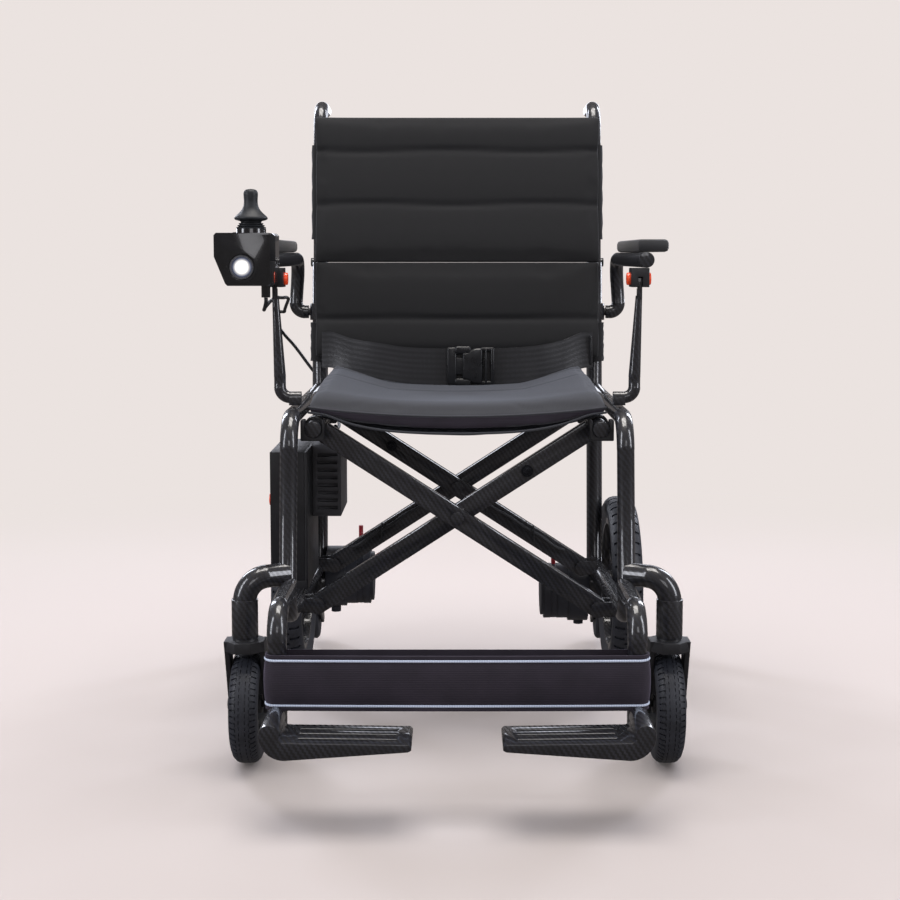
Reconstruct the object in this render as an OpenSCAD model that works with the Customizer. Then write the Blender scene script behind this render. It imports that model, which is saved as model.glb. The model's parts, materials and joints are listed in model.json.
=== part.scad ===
// Folding power wheelchair. The chair faces -Y, +X is its left side and the floor is z = 0.

/* [Frame] */
// Distance from the centre plane to each side frame's tubes
frame_x = 222; // [205:1:270]
// Radius of the seat, front and lower tubes
tube_r = 11.5; // [9:0.5:12]
// Radius of the back posts below the hinge
post_r = 12.5; // [12:0.5:15]
// Height of the seat tubes
seat_z = 452; // [430:1:545]
// Place of the seat tube's front corner
front_top_y = -165; // [-180:1:-150]
// Place of the front tube's lower corner
front_low_y = -200; // [-215:1:-190]
// Height of the lower rail at its front corner
rail_front_z = 195; // [185:1:205]
// Height of the lower rail at the back post
rail_rear_z = 172; // [165:1:185]
// Bend radius of the seat tube's front corner
front_bend_r = 45; // [30:1:50]
// Backward lean of the back posts, in degrees
lean = 5.5; // [3:0.5:8]

/* [Back] */
// Height of the hinge where the back folds
hinge_z = 657; // [600:1:700]
// Height of the top of the push handles
back_top_z = 921; // [860:1:1110]
// Radius of the upper back posts
back_r = 11; // [9:0.5:12]
// Thickness of the back pads
back_pad_d = 24; // [15:1:30]

/* [Folding cross] */
// Distance of the cross pivots inside the side frames
pivot_inset = 29; // [27:1:33]
// Height of the lower cross pivots
pivot_z = 186; // [182:1:206]
// Drop from the seat tubes to the seat rails
rail_drop = 16; // [15:1:26]
// Height of a cross bar
bar_h = 26; // [20:1:28]
// Depth of a cross bar
bar_d = 20; // [14:1:20]
// Radius of the seat rails
rail_r = 11; // [9:0.5:11.5]
// Radius of the pivot pins
pin_r = 5; // [4:0.5:6]

/* [Wheels] */
// Radius of the rear tyres
rear_r = 140; // [120:1:140]
// Width of the rear tyres
rear_w = 46; // [36:1:46]
// Radius of the casters
caster_r = 76.5; // [64:0.5:77]
// Width of the casters
caster_w = 37; // [30:1:37]
// Trail of the casters behind their swivel
trail = 33; // [27:1:36]
// Radius of the anti-tip wheels
antitip_r = 36; // [28:1:36]
// Radius of the motors
motor_r = 48; // [40:1:48]

/* [Arms] */
// Height of the top of the arm pads
arm_top_z = 690.5; // [680:0.5:710]
// Length of the arm pads
arm_pad_len = 265; // [220:1:300]
// Width of the arm pads
arm_pad_w = 44; // [36:1:50]
// Radius of the arm tubes
arm_r = 10.5; // [9:0.5:11]

/* [Feet] */
// Radius of the foot hanger tubes
hanger_r = 12; // [11:0.5:13]
// Length of a footplate from its hinge to its tip
footplate_len = 165; // [135:1:200]
// Depth of a footplate
footplate_d = 70; // [55:1:84]
// Height of the calf strap
strap_h = 68; // [55:1:82]

/* [Power] */
// Length of the battery
battery_len = 150; // [125:1:155]
// Height of the battery
battery_h = 182; // [150:1:200]
// Thickness of the battery
battery_w = 48; // [40:1:58]

/* [Hidden] */
$fn = 48;

// Clearances: a pin in its bore, and a piece beside its neighbour
fit = 0.05;
gap = 0.3;

// A bend is a little thicker than its tube, which runs a little way into it
bend_skin = 0.2;
bend_lap = 1;

// Rear axle and back post line
axle_y = 243;
axle_z = rear_r;
function post_y(z) = axle_y + (z - axle_z) * tan(lean);
hinge_back = 22;
hinge_ear = 8;
hinge_eye_r = 9;
hinge_leaf = 30;
hinge_clear = 1.8;
hinge_pin_r = 4;
function hinge_y() = post_y(hinge_z) + hinge_back;

// Folding cross
pivot_x = frame_x - pivot_inset;
rail_z = seat_z - rail_drop;
cross_angle = atan2(rail_z - pivot_z, 2 * pivot_x);
cross_len = norm([2 * pivot_x, rail_z - pivot_z]);
bar_gap = 2;
collar_r = rail_r + 4;
front_b_y = -105;
front_a_y = front_b_y + bar_d + bar_gap;
rear_b_y = 157;
rear_a_y = rear_b_y + bar_d + bar_gap;
rail_front_y = -142;
rail_back_y = 235;

// Casters
caster_x = frame_x + 53;
swivel_y = -220;
caster_y = swivel_y + trail;
caster_arm_r = 15;
caster_arm_z = 252;
housing_r = 17;
housing_z = 175;
stem_r = 6;
stem_top = 215;
fork_leg_d = 6.5;
caster_axle_r = 5;
caster_rim_r = 48;

// Rear wheels and motors
wheel_x = frame_x + 40;
shaft_r = 8;
plate_r = 38;
plate_out = 8;
rear_rim_r = 105;
motor_len = 75;
motor_shift = 12;
motor_cap_len = 45;
motor_cap_r = motor_r - 4;
motor_x = frame_x - post_r - gap;
lever_groove = 10;
lever_ring_r = motor_cap_r - 6;
lever_tip = 82;

// Anti-tip wheels
antitip_x = frame_x + 23;
antitip_y = axle_y + 154;
antitip_z = antitip_r + 8.5;
antitip_w = 15.7;
antitip_pin_r = 4;

// Feet
leg_x = frame_x - 4;
leg_y = -347;
hanger_z = 238;
leg_bottom = 100;
foot_hinge_z = 116;
foot_bend_r = 30;
foot_skin = 21;
foot_y = leg_y - hanger_r - 5;
strap_z = 122;
strap_t = 2;

// Arms
arm_x = frame_x + 34;
arm_pivot_z = 577;
arm_pin_r = 6;
arm_pad_t = 17.7;
arm_tube_z = arm_top_z - arm_pad_t - gap - arm_r;
arm_front_y = -103;
arm_pad_y = -50;
latch_x = frame_x + 26;
latch_y = -85;
latch_w = 24;
latch_h = 26;
latch_top = arm_tube_z - arm_r - gap;
button_z = latch_top - 15;
button_y = latch_y + 5;
button_r = 8.5;
button_rod_r = 3.5;
button_out = 4.5;
tongue_t = 6;
post_low_z = 474;
blade_r = 8;

// Joystick pod
pod_x = arm_x + 20;
pod_w = 72;
pod_y = arm_front_y - gap;
pod_len = 98;
pod_top = 697;
pod_bottom = 629;
stick_x = pod_x - 5;
stick_y = pod_y - 46;
stick_z = 680;
stick_bore_r = 23;
stick_mouth_r = 16.5;
lamp_z = 653;
lamp_r = 16;

// Battery and controller
battery_x = frame_x - 8;
battery_y = -57;
battery_z = 212;
cradle_t = 4;
controller_w = 41;
controller_y = 13;
controller_len = 117;
controller_z = 291;
controller_h = 104;

// Soft parts
cushion_t = 26;
cushion_front_y = -132;
cushion_back_y = 256;
sling_t = 2.5;
sling_z = rail_z + collar_r + gap;
cushion_z = sling_z + sling_t + gap;
belt_w = 54;
belt_t = 2.5;
belt_y = 198;
// The belt stands on edge: its lift off the seat, and how its ends rise and go back
belt_lift = 3;
belt_rise = 12;
belt_back = 26;
buckle_w = 82;
buckle_t = 13;

carbon = [0.07, 0.07, 0.08];
plastic = [0.12, 0.12, 0.13];
cloth = [0.15, 0.15, 0.17];
tyre_black = [0.1, 0.1, 0.12];
orange = [0.95, 0.25, 0.08];
red = [0.65, 0.05, 0.08];

// Cable routes, by hand
joystick_route = [[-256, -123, 611.7], [-256, -123, 606], [-258, -119, 599], [-261, -106, 595], [-263, -80, 597],
    [-263, -20, 604], [-264, 60, 606], [-265, 140, 604], [-267, 210, 602], [-270, 250, 597],
    [-275, 268, 589], [-279, 279, 581], [-281, 285, 577], [-284, 285, 577]];
frame_route = [[-284, 285, 577], [-287, 285, 577], [-292, 288, 571], [-294, 297, 558],
    [-286, 308, 542], [-268, 314, 520], [-244, 312, 488], [-216, 304, 452], [-198, 282, 416],
    [-189, 235, 402], [-186, 180, 399], [-184, 132, 405], [-184, 104, 411], [-184, 96, 407],
    [-184, 95, 401], [-184, 95, 395.3]];

function unit(v) = v / norm(v);
function corner(a, b, c) = acos(unit(a - b) * unit(c - b));
function setback(a, b, c, bend) = bend / tan(corner(a, b, c) / 2);

// One side's shape, drawn at +X and mirrored for the chair's right
module side(s) {
    if (s > 0) children();
    else mirror([1, 0, 0]) children();
}

// A straight round bar between two points
module rod(a, b, r) {
    d = b - a;
    translate(a) rotate([0, acos(d.z / norm(d)), atan2(d.y, d.x)]) cylinder(h = norm(d), r = r);
}

// A bend of a round tube at point b
module elbow(a, b, c, bend, r) {
    centre = b + unit(unit(a - b) + unit(c - b)) * bend / sin(corner(a, b, c) / 2);
    start = b + unit(a - b) * setback(a, b, c, bend);
    ex = unit(start - centre);
    ez = unit(cross(a - b, b - c));
    ey = cross(ez, ex);
    multmatrix([[ex.x, ey.x, ez.x, centre.x], [ex.y, ey.y, ez.y, centre.y],
            [ex.z, ey.z, ez.z, centre.z]])
        rotate_extrude(angle = 180 - corner(a, b, c)) translate([bend, 0]) circle(r + bend_skin);
}

// A round tube through points, with a bend at each inner point
module bent_tube(p, bends, r) {
    last = len(p) - 1;
    for (i = [0 : last - 1]) {
        dir = unit(p[i + 1] - p[i]);
        from = i == 0 ? p[0]
            : p[i] + dir * (setback(p[i - 1], p[i], p[i + 1], bends[i - 1]) - bend_lap);
        to = i == last - 1 ? p[last]
            : p[i + 1] - dir * (setback(p[i], p[i + 1], p[i + 2], bends[i]) - bend_lap);
        rod(from, to, r);
    }
    for (i = [1 : last - 1]) elbow(p[i - 1], p[i], p[i + 1], bends[i - 1], r);
}

// Round bars along X and along Y
module along_x(x, y, z, len, r) { translate([x, y, z]) rotate([0, 90, 0]) cylinder(h = len, r = r); }
module along_y(x, y, z, len, r) { translate([x, y, z]) rotate([-90, 0, 0]) cylinder(h = len, r = r); }

// A free cable swept along its route
module cable(route, r, sides = 8) {
    n = len(route);
    function heading(i) = unit(route[min(i + 1, n - 1)] - route[max(i - 1, 0)]);
    function across(i) = unit(cross(heading(i), [0.31, 0.17, 0.93]));
    rings = [for (i = [0 : n - 1]) for (k = [0 : sides - 1])
        route[i] + r * (across(i) * cos(360 * k / sides)
            + cross(heading(i), across(i)) * sin(360 * k / sides))];
    walls = [for (i = [0 : n - 2]) for (k = [0 : sides - 1])
        [i * sides + k, (i + 1) * sides + k, (i + 1) * sides + (k + 1) % sides,
            i * sides + (k + 1) % sides]];
    start = [for (k = [0 : sides - 1]) k];
    end = [for (k = [sides - 1 : -1 : 0]) (n - 1) * sides + k];
    polyhedron(rings, concat(walls, [start], [end]));
}

// Ears and pin of a lower cross pivot, round a bar centred at y
module pivot_bracket(y) {
    ear = 4;
    reach = bar_d / 2 + gap;
    for (e = [-reach - ear, reach]) {
        along_y(pivot_x, y + e, pivot_z, ear, 10);
        translate([pivot_x, y + e, pivot_z - 10]) cube([pivot_inset - 6, ear, 20]);
    }
    along_y(pivot_x, y - reach - 1, pivot_z, 2 * reach + 2, pin_r);
}

module side_frame(s) side(s) color(carbon) {
    difference() {
        union() {
            bent_tube([[frame_x, post_y(seat_z), seat_z], [frame_x, front_top_y, seat_z],
                    [frame_x, front_low_y, rail_front_z],
                    [frame_x, post_y(rail_rear_z), rail_rear_z]], [front_bend_r, 30], tube_r);
            rod([frame_x, axle_y, axle_z], [frame_x, post_y(hinge_z - gap), hinge_z - gap], post_r);
            bent_tube([[frame_x, swivel_y + 26, caster_arm_z], [caster_x, swivel_y, caster_arm_z],
                    [caster_x, swivel_y, housing_z + 20]], [30], caster_arm_r);
            translate([caster_x, swivel_y, housing_z]) cylinder(h = 50, r = housing_r);
            along_x(frame_x - post_r, axle_y, axle_z, post_r + plate_out, plate_r);
            // Spigot for the foot hanger
            rod([leg_x, swivel_y + 20, hanger_z], [leg_x, swivel_y - 28, hanger_z], hanger_r - 2);
            pivot_bracket(s < 0 ? front_a_y : front_b_y);
            pivot_bracket(s < 0 ? rear_a_y : rear_b_y);
            // Web from the rear bracket down to the rail
            translate([frame_x - 8, rear_b_y - 10, rail_rear_z]) cube([8, 40, pivot_z - rail_rear_z]);
            // Clamp and pin of the arm
            translate([frame_x, post_y(arm_pivot_z), arm_pivot_z]) rotate([-lean, 0, 0])
                intersection() {
                    cylinder(h = 26, r = post_r + 4, center = true);
                    translate([-30, 1 - post_r, -14]) cube([60, 60, 28]);
                }
            along_x(frame_x, post_y(arm_pivot_z), arm_pivot_z, arm_x - frame_x, arm_pin_r);
            back_hinge_lower();
        }
        translate([caster_x, swivel_y, housing_z - 1])
            cylinder(h = stem_top - housing_z + 2, r = stem_r + fit);
        along_x(frame_x - post_r - 1, axle_y, axle_z, 2 * post_r + 2, shaft_r + gap);
    }
}

// Fixed half of the back hinge: ear, pin and knob behind the post
module back_hinge_lower() {
    x = frame_x - hinge_ear - 0.85;
    along_x(x, hinge_y(), hinge_z, hinge_ear, hinge_eye_r);
    translate([x, hinge_y() - hinge_back, hinge_z - hinge_leaf])
        cube([hinge_ear, hinge_back, hinge_leaf - hinge_clear]);
    translate([x, hinge_y() - 1, hinge_z - hinge_leaf]) cube([hinge_ear, 10, hinge_leaf]);
    along_x(x, hinge_y(), hinge_z, 2 * hinge_ear + 10, hinge_pin_r);
    along_x(x + 2 * hinge_ear + 2, hinge_y(), hinge_z, 8, 7);
}

module back_post(s) side(s) color(carbon) {
    x = frame_x - 0.55;
    top_z = back_top_z - back_r;
    difference() {
        union() {
            bent_tube([[frame_x, post_y(hinge_z + gap), hinge_z + gap], [frame_x, post_y(top_z), top_z],
                    [frame_x, post_y(top_z) + 72, top_z - 2]], [36], back_r);
            along_x(x, hinge_y(), hinge_z, hinge_ear, hinge_eye_r);
            translate([x, hinge_y() - hinge_back, hinge_z + 0.5])
                cube([hinge_ear, hinge_back, hinge_leaf - 0.5]);
            translate([x, hinge_y() - 1, hinge_z]) cube([hinge_ear, 10, hinge_leaf]);
        }
        along_x(x - 1, hinge_y(), hinge_z, hinge_ear + 2, hinge_pin_r + gap);
    }
}

module saddles(s) side(s) color(plastic) {
    inner = pivot_x - collar_r + 1;
    for (y = [-137, 66]) difference() {
        translate([inner, y, rail_z - 16]) cube([frame_x - tube_r - gap - inner, 20, 28]);
        along_y(pivot_x, y - 1, rail_z, 22, rail_r + gap);
        translate([pivot_x - rail_r - gap, y - 1, rail_z]) cube([2 * (rail_r + gap), 22, 14]);
    }
}

module arm_post(s) side(s) color(carbon) {
    elbow_x = latch_x - 5;
    foot_x = frame_x - 8;
    bent_tube([[elbow_x, latch_y, post_low_z + 30], [elbow_x, latch_y, post_low_z],
            [foot_x, latch_y, post_low_z]], [14], blade_r);
    slope = [latch_x - elbow_x, 0, latch_top - latch_h - 12 - (post_low_z + 28)];
    translate([elbow_x, latch_y, post_low_z + 28]) rotate([0, atan2(slope.x, slope.z), 0])
        cylinder(h = norm(slope), r1 = blade_r + bend_skin, r2 = 4.5);
    translate([latch_x - tongue_t / 2, latch_y - 12, latch_top - latch_h - 16])
        cube([tongue_t, 14, 14]);
    translate([latch_x - tongue_t / 2, latch_y - 12, latch_top - latch_h - 3]) cube([tongue_t, 8, 15]);
    translate([foot_x, latch_y - 9, seat_z + tube_r + gap]) cube([16, 18, post_low_z - seat_z - tube_r]);
}

module foot_hanger(s) side(s) color(carbon) {
    start_y = swivel_y - 8;
    difference() {
        bent_tube([[leg_x, start_y, hanger_z], [leg_x, leg_y, hanger_z], [leg_x, leg_y, leg_bottom]],
            [35], hanger_r);
        along_y(leg_x, swivel_y - 29, hanger_z, 22, hanger_r - 2 + fit);
    }
    along_y(leg_x, foot_y - 40, foot_hinge_z, leg_y - foot_y + 40, pin_r);
}

module footplate(s) side(s) color(carbon) {
    bend_x = leg_x + 12 - foot_bend_r;
    low = foot_hinge_z - foot_bend_r;
    tip = leg_x - footplate_len;
    difference() {
        translate([0, foot_y, 0]) rotate([90, 0, 0]) linear_extrude(footplate_d) {
            difference() {
                translate([bend_x, foot_hinge_z]) intersection() {
                    difference() {
                        circle(foot_bend_r);
                        circle(foot_bend_r - foot_skin);
                    }
                    translate([0, -foot_bend_r]) square(foot_bend_r);
                }
            }
            translate([leg_x, foot_hinge_z]) circle(12);
            polygon([[bend_x, low], [bend_x, low + foot_skin], [tip + 3, low + 19], [tip, low + 16],
                    [tip, low + 12], [tip + 4, low + 10]]);
        }
        along_y(leg_x, foot_y - 41, foot_hinge_z, 42, pin_r + fit);
        for (i = [0 : 2])
            translate([tip + 18, foot_y - footplate_d * (i + 1) / 4 - 3, low + 17])
                cube([footplate_len - 50, 6, 8]);
    }
}

module caster_fork(s) side(s) color(plastic) {
    crown_z = housing_z - 17;
    half = caster_w / 2 + 1;
    difference() {
        union() {
            translate([caster_x, swivel_y, housing_z - gap - 2.7]) cylinder(h = 2.7, r = 16);
            translate([caster_x, swivel_y, crown_z]) cylinder(h = stem_top - crown_z, r = stem_r);
            translate([caster_x, swivel_y, crown_z]) rotate([0, 0, 22.5])
                cylinder(h = 14, r = half + fork_leg_d + 0.5, $fn = 8);
            for (e = [-half - fork_leg_d, half])
                translate([caster_x + e, 0, 0]) rotate([90, 0, 90]) linear_extrude(fork_leg_d)
                    polygon([[swivel_y - 14, crown_z + 14], [swivel_y + 14, crown_z + 14],
                            [caster_y + 12, caster_r + 4], [caster_y + 8, caster_r - 11],
                            [caster_y - 8, caster_r - 11], [caster_y - 12, caster_r + 2]]);
            along_x(caster_x - half - fork_leg_d - 2.5, caster_y, caster_r,
                2 * (half + fork_leg_d) + 5, caster_axle_r);
            for (e = [-half - fork_leg_d - 2.5, half + fork_leg_d])
                along_x(caster_x + e, caster_y, caster_r, 2.5, 8);
        }
        translate([caster_x - 40, swivel_y - 50, 0]) cube([80, 26, 300]);
    }
}

module caster_tyre(s) side(s) color(tyre_black) {
    w = caster_w / 2;
    translate([caster_x, caster_y, caster_r]) rotate([0, 90, 0]) rotate_extrude()
        polygon([[caster_rim_r, -w + 3], [caster_rim_r + 10, -w], [caster_r - 9, -w],
                [caster_r - 2, -w + 7], [caster_r, -w + 13], [caster_r, w - 13],
                [caster_r - 2, w - 7], [caster_r - 9, w], [caster_rim_r + 10, w],
                [caster_rim_r, w - 3]]);
}

// A wheel centre: hub, spokes and rim band about the X axis
module wheel_centre(rim, w, hub, bore, spokes, band) {
    difference() {
        union() {
            rotate([0, 90, 0]) difference() {
                cylinder(h = w, r = rim, center = true);
                cylinder(h = w + 2, r = rim - band, center = true);
            }
            rotate([0, 90, 0]) cylinder(h = w, r = hub, center = true);
            for (i = [0 : spokes - 1]) rotate([360 * i / spokes, 0, 0])
                translate([-w / 5, -hub / 2, hub / 2]) cube([w / 2.5, hub, rim - band / 2 - hub / 2]);
        }
        rotate([0, 90, 0]) cylinder(h = w + 2, r = bore, center = true);
    }
}

module caster_rim(s) side(s) color(plastic)
    translate([caster_x, caster_y, caster_r])
        wheel_centre(caster_rim_r - fit, caster_w - 4, 12, caster_axle_r + fit, 5, 6);

module rear_tyre(s) side(s) color(tyre_black) {
    w = rear_w / 2;
    translate([wheel_x, axle_y, axle_z]) rotate([0, 90, 0]) rotate_extrude()
        polygon([[rear_rim_r, -w + 4], [rear_rim_r + 12, -w], [rear_r - 10, -w],
                [rear_r - 3, -w + 7], [rear_r, -w + 14], [rear_r, w - 14], [rear_r - 3, w - 7],
                [rear_r - 10, w], [rear_rim_r + 12, w], [rear_rim_r, w - 4]]);
}

module rear_rim(s) side(s) color(carbon)
    translate([wheel_x, axle_y, axle_z])
        wheel_centre(rear_rim_r - fit, rear_w - 8, 20, shaft_r + fit, 5, 9);

module motor(s) side(s) color(plastic) {
    z = axle_z - s * motor_shift;
    end = motor_x - motor_len;
    difference() {
        union() {
            along_x(end + motor_cap_len - 1, axle_y, z, motor_len - motor_cap_len + 1, motor_r);
            along_x(end + 5, axle_y, z, motor_cap_len - 4, motor_cap_r);
            along_x(end, axle_y, z, 6, motor_cap_r - 5);
            along_x(motor_x - 1, axle_y, axle_z, wheel_x + rear_w / 2 - 6 - motor_x, shaft_r);
            translate([frame_x - 26, axle_y, z - motor_r - 8 + s * 2])
                cylinder(h = 12, r = 7.8);
        }
        // Groove for the clutch lever's ring
        translate([end + 16, axle_y, z]) rotate([0, 90, 0]) difference() {
            cylinder(h = lever_groove, r = motor_r + 5);
            translate([0, 0, -1]) cylinder(h = lever_groove + 2, r = lever_ring_r);
        }
    }
}

module clutch_lever(s) side(s) color(red) {
    z = axle_z - s * motor_shift;
    x = motor_x - motor_len + 16 + gap;
    w = lever_groove - 2 * gap;
    translate([x, axle_y, z]) rotate([0, 90, 0]) difference() {
        cylinder(h = w, r = motor_cap_r - 0.5);
        translate([0, 0, -1]) cylinder(h = w + 2, r = lever_ring_r + fit);
    }
    translate([x + w / 2, axle_y, z + motor_cap_r - 3]) cylinder(h = lever_tip - motor_cap_r + 3, r = 3.5);
}

module antitip_arm(s) side(s) color(carbon) {
    root_y = axle_y + 25;
    root_z = axle_z - 12;
    t = 5;
    x = frame_x + plate_out + gap;
    run = [antitip_y - root_y, antitip_z - root_z];
    along_x(x, root_y, root_z, t, 9);
    along_x(x, antitip_y, antitip_z, t, 9);
    translate([x, root_y, root_z]) rotate([atan2(run.y, run.x), 0, 0])
        translate([0, 0, -8]) cube([t, norm(run), 16]);
    along_x(x, antitip_y, antitip_z, antitip_x + antitip_w / 2 + 3 - x, antitip_pin_r);
    along_x(antitip_x + antitip_w / 2 + gap, antitip_y, antitip_z, 2.7, 7);
}

module antitip_wheel(s) side(s) color(tyre_black)
    translate([antitip_x, antitip_y, antitip_z]) rotate([0, 90, 0]) rotate_extrude() {
        w = antitip_w / 2;
        polygon([[antitip_pin_r + fit, -w], [antitip_r - 4, -w], [antitip_r, -w + 4],
                [antitip_r, w - 4], [antitip_r - 4, w], [antitip_pin_r + fit, w]]);
    }

// One cross bar from a lower pivot up to a rail collar
module cross_bar(y) {
    translate([-pivot_x, y, pivot_z]) rotate([0, -cross_angle, 0]) {
        difference() {
            union() {
                along_y(0, -bar_d / 2, 0, bar_d, bar_h / 2);
                translate([0, -bar_d / 2, -bar_h / 2]) cube([cross_len - collar_r + 3, bar_d, bar_h]);
                along_y(cross_len, -bar_d / 2, 0, bar_d, collar_r);
            }
            along_y(0, -bar_d / 2 - 1, 0, bar_d + 2, pin_r + fit);
            along_y(cross_len, -bar_d / 2 - 1, 0, bar_d + 2, rail_r + fit);
            children();
        }
    }
}

// The pair that rises from the chair's right, with the centre pins
module cross_bars_a() color(carbon) {
    for (y = [front_a_y, rear_a_y]) {
        cross_bar(y);
        reach = bar_d + bar_gap + gap;
        along_y(0, y - bar_d / 2 - reach, (pivot_z + rail_z) / 2, reach + 1, pin_r);
        along_y(0, y - bar_d / 2 - reach - 3, (pivot_z + rail_z) / 2, 3, 9);
    }
}

// The pair that rises from the chair's left
module cross_bars_b() color(carbon)
    for (y = [front_b_y, rear_b_y])
        mirror([1, 0, 0]) cross_bar(y)
            along_y(cross_len / 2, -bar_d / 2 - 1, 0, bar_d + 2, pin_r + fit);

module seat_rail(s) side(s) color(carbon)
    along_y(pivot_x, rail_front_y, rail_z, rail_back_y - rail_front_y, rail_r);

module arm_tube(s) side(s) color(carbon) {
    y = post_y(arm_pivot_z);
    start = frame_x + post_r + 4 + gap + 2;
    difference() {
        bent_tube([[start, y, arm_pivot_z], [arm_x + 6, y, arm_pivot_z], [arm_x, y, arm_tube_z],
                [arm_x, arm_front_y, arm_tube_z]], [14, 36], arm_r);
        along_x(frame_x, y, arm_pivot_z, arm_x - frame_x + 1, arm_pin_r + fit);
    }
}

module arm_pad(s) side(s) color(plastic)
    translate([arm_x - 6, arm_pad_y, arm_top_z - arm_pad_t]) cube([arm_pad_w, arm_pad_len, arm_pad_t]);

module arm_latch(s) side(s) color(plastic) {
    low = latch_top - latch_h;
    difference() {
        translate([latch_x - latch_w / 2, latch_y - 17, low]) cube([latch_w, 34, latch_h]);
        along_x(latch_x - latch_w / 2 - 1, button_y, button_z, latch_w + 2, button_rod_r + fit);
        for (e = [-1, latch_w - 5])
            along_x(latch_x - latch_w / 2 + e, button_y, button_z, 6, button_r + gap);
        translate([latch_x - tongue_t / 2 - gap, latch_y - 18, low - 1])
            cube([tongue_t + 2 * gap, 15, 15]);
    }
}

module latch_button(s) side(s) color(orange) {
    out = latch_w / 2 + button_out;
    along_x(latch_x - out, button_y, button_z, 2 * out, button_rod_r);
    for (x = [latch_x - out, latch_x + latch_w / 2 - 2.3])
        along_x(x, button_y, button_z, button_out + 2.3, button_r);
}

module joystick_case() side(-1) color(plastic) {
    h = pod_top - pod_bottom;
    w = pod_w / 2;
    difference() {
        union() {
            translate([pod_x, pod_y, pod_bottom]) rotate([90, 0, 0]) linear_extrude(pod_len)
                polygon([[-w, 3], [-w + 3, 0], [w - 17, 0], [w - 14, 3], [w, h * 0.55], [w, h - 3],
                        [w - 3, h], [-w + 3, h], [-w, h - 3]]);
            translate([stick_x, stick_y, pod_top - 1]) cylinder(h = 7, r = stick_mouth_r + 3);
            along_y(pod_x, pod_y - pod_len - 4, lamp_z, 5, lamp_r + 4);
            translate([pod_x - 20, pod_y - 20, pod_bottom - 17]) cylinder(h = 18, r = 6);
        }
        translate([stick_x, stick_y, stick_z - 18]) cylinder(h = pod_top - stick_z + 15, r = stick_bore_r);
        translate([stick_x, stick_y, pod_top - 4]) cylinder(h = 14, r = stick_mouth_r);
        along_x(stick_x - stick_bore_r - 3, stick_y, stick_z, 2 * stick_bore_r + 6, 2.5 + fit);
        along_y(pod_x, pod_y - pod_len - 5, lamp_z, 12, lamp_r + gap);
        translate([pod_x + 20, pod_y - 14, pod_top - 6]) cylinder(h = 7, r = 4.5 + gap);
    }
}

module joystick_gimbal() side(-1) color(plastic) {
    difference() {
        union() {
            translate([stick_x, stick_y, stick_z]) cylinder(h = 8, r = 16, center = true);
            along_x(stick_x - stick_bore_r - 2, stick_y, stick_z, 2 * stick_bore_r + 4, 2.5);
        }
        translate([stick_x, stick_y, stick_z]) cylinder(h = 10, r = 11, center = true);
        along_y(stick_x, stick_y - 17, stick_z, 34, 2 + fit);
    }
}

module joystick_lever() side(-1) color(plastic) {
    translate([stick_x, stick_y, 0]) rotate_extrude()
        polygon([[0, stick_z - 8], [4, stick_z - 8], [4, stick_z + 34], [20, stick_z + 34],
                [23, stick_z + 36], [17, stick_z + 43], [10, stick_z + 50], [9, stick_z + 58],
                [9.8, stick_z + 66], [9, stick_z + 73], [6, stick_z + 75], [0, stick_z + 75]]);
    along_y(stick_x, stick_y - 15, stick_z, 30, 2);
}

module headlight() side(-1) color([0.9, 0.9, 0.95])
    along_y(pod_x, pod_y - pod_len - 4, lamp_z, 10.7, lamp_r);

module power_button() side(-1) color(plastic)
    translate([pod_x + 20, pod_y - 14, pod_top - 4]) cylinder(h = 6, r = 4.5);

module battery_case() side(-1) color(plastic) {
    difference() {
        translate([battery_x, battery_y, battery_z]) cube([battery_w, battery_len, battery_h]);
        along_x(battery_x + battery_w - 6, battery_y + 20, battery_z + battery_h * 0.62, 7, 9 + gap);
    }
}

module battery_button() side(-1) color(orange)
    along_x(battery_x + battery_w - 3.5, battery_y + 20, battery_z + battery_h * 0.62, 6.5, 9);

module battery_cradle() side(-1) color(plastic) {
    rail_slope = (rail_rear_z - rail_front_z) / (post_y(rail_rear_z) - front_low_y);
    low = rail_front_z + (battery_y - front_low_y) * rail_slope + tube_r + gap;
    translate([battery_x - gap - cradle_t, battery_y, low])
        cube([cradle_t, controller_y + 83 - battery_y, battery_z + battery_h - low]);
    // Ledge under the battery
    translate([battery_x - gap - cradle_t, battery_y, low + 1])
        cube([battery_w - 6, battery_len, battery_z - gap - low - 1]);
}

module controller_case() side(-1) color([0.35, 0.35, 0.36]) {
    right = battery_x - gap - cradle_t - gap;
    difference() {
        translate([right - controller_w, controller_y, controller_z])
            cube([controller_w, controller_len, controller_h]);
        for (i = [0 : 7])
            translate([right - controller_w + 5, controller_y - 1, controller_z + 10 + 11 * i])
                cube([controller_w - 12, 9, 5]);
    }
}

module joystick_cable() color(plastic) cable(joystick_route, 2.6);

module frame_cable() color(plastic) cable(frame_route, 2.6);

module seat_cushion() color(cloth) {
    x = frame_x - tube_r - 1.5;
    translate([-x, cushion_front_y, cushion_z]) cube([2 * x, cushion_back_y - cushion_front_y, cushion_t]);
}

module seat_sling() color(cloth)
    translate([-pivot_x - 3, rail_front_y + 14, sling_z])
        cube([2 * pivot_x + 6, rail_back_y - rail_front_y - 14, sling_t]);

// A back pad slab between two heights, in front of leaning posts of radius r
module back_pad(low, high, r) color(cloth) {
    x = frame_x + post_r + 1.5;
    translate([-x, post_y(low) - post_r - gap - back_pad_d, low]) multmatrix([[1, 0, 0, 0],
            [0, 1, tan(lean), 0], [0, 0, 1, 0]]) cube([2 * x, back_pad_d + post_r - r, high - low]);
}

module back_pad_upper() back_pad(hinge_z + 1, back_top_z - 22, back_r);

module back_pad_lower() back_pad(cushion_z + cushion_t + 20, hinge_z - 1, post_r);

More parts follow.
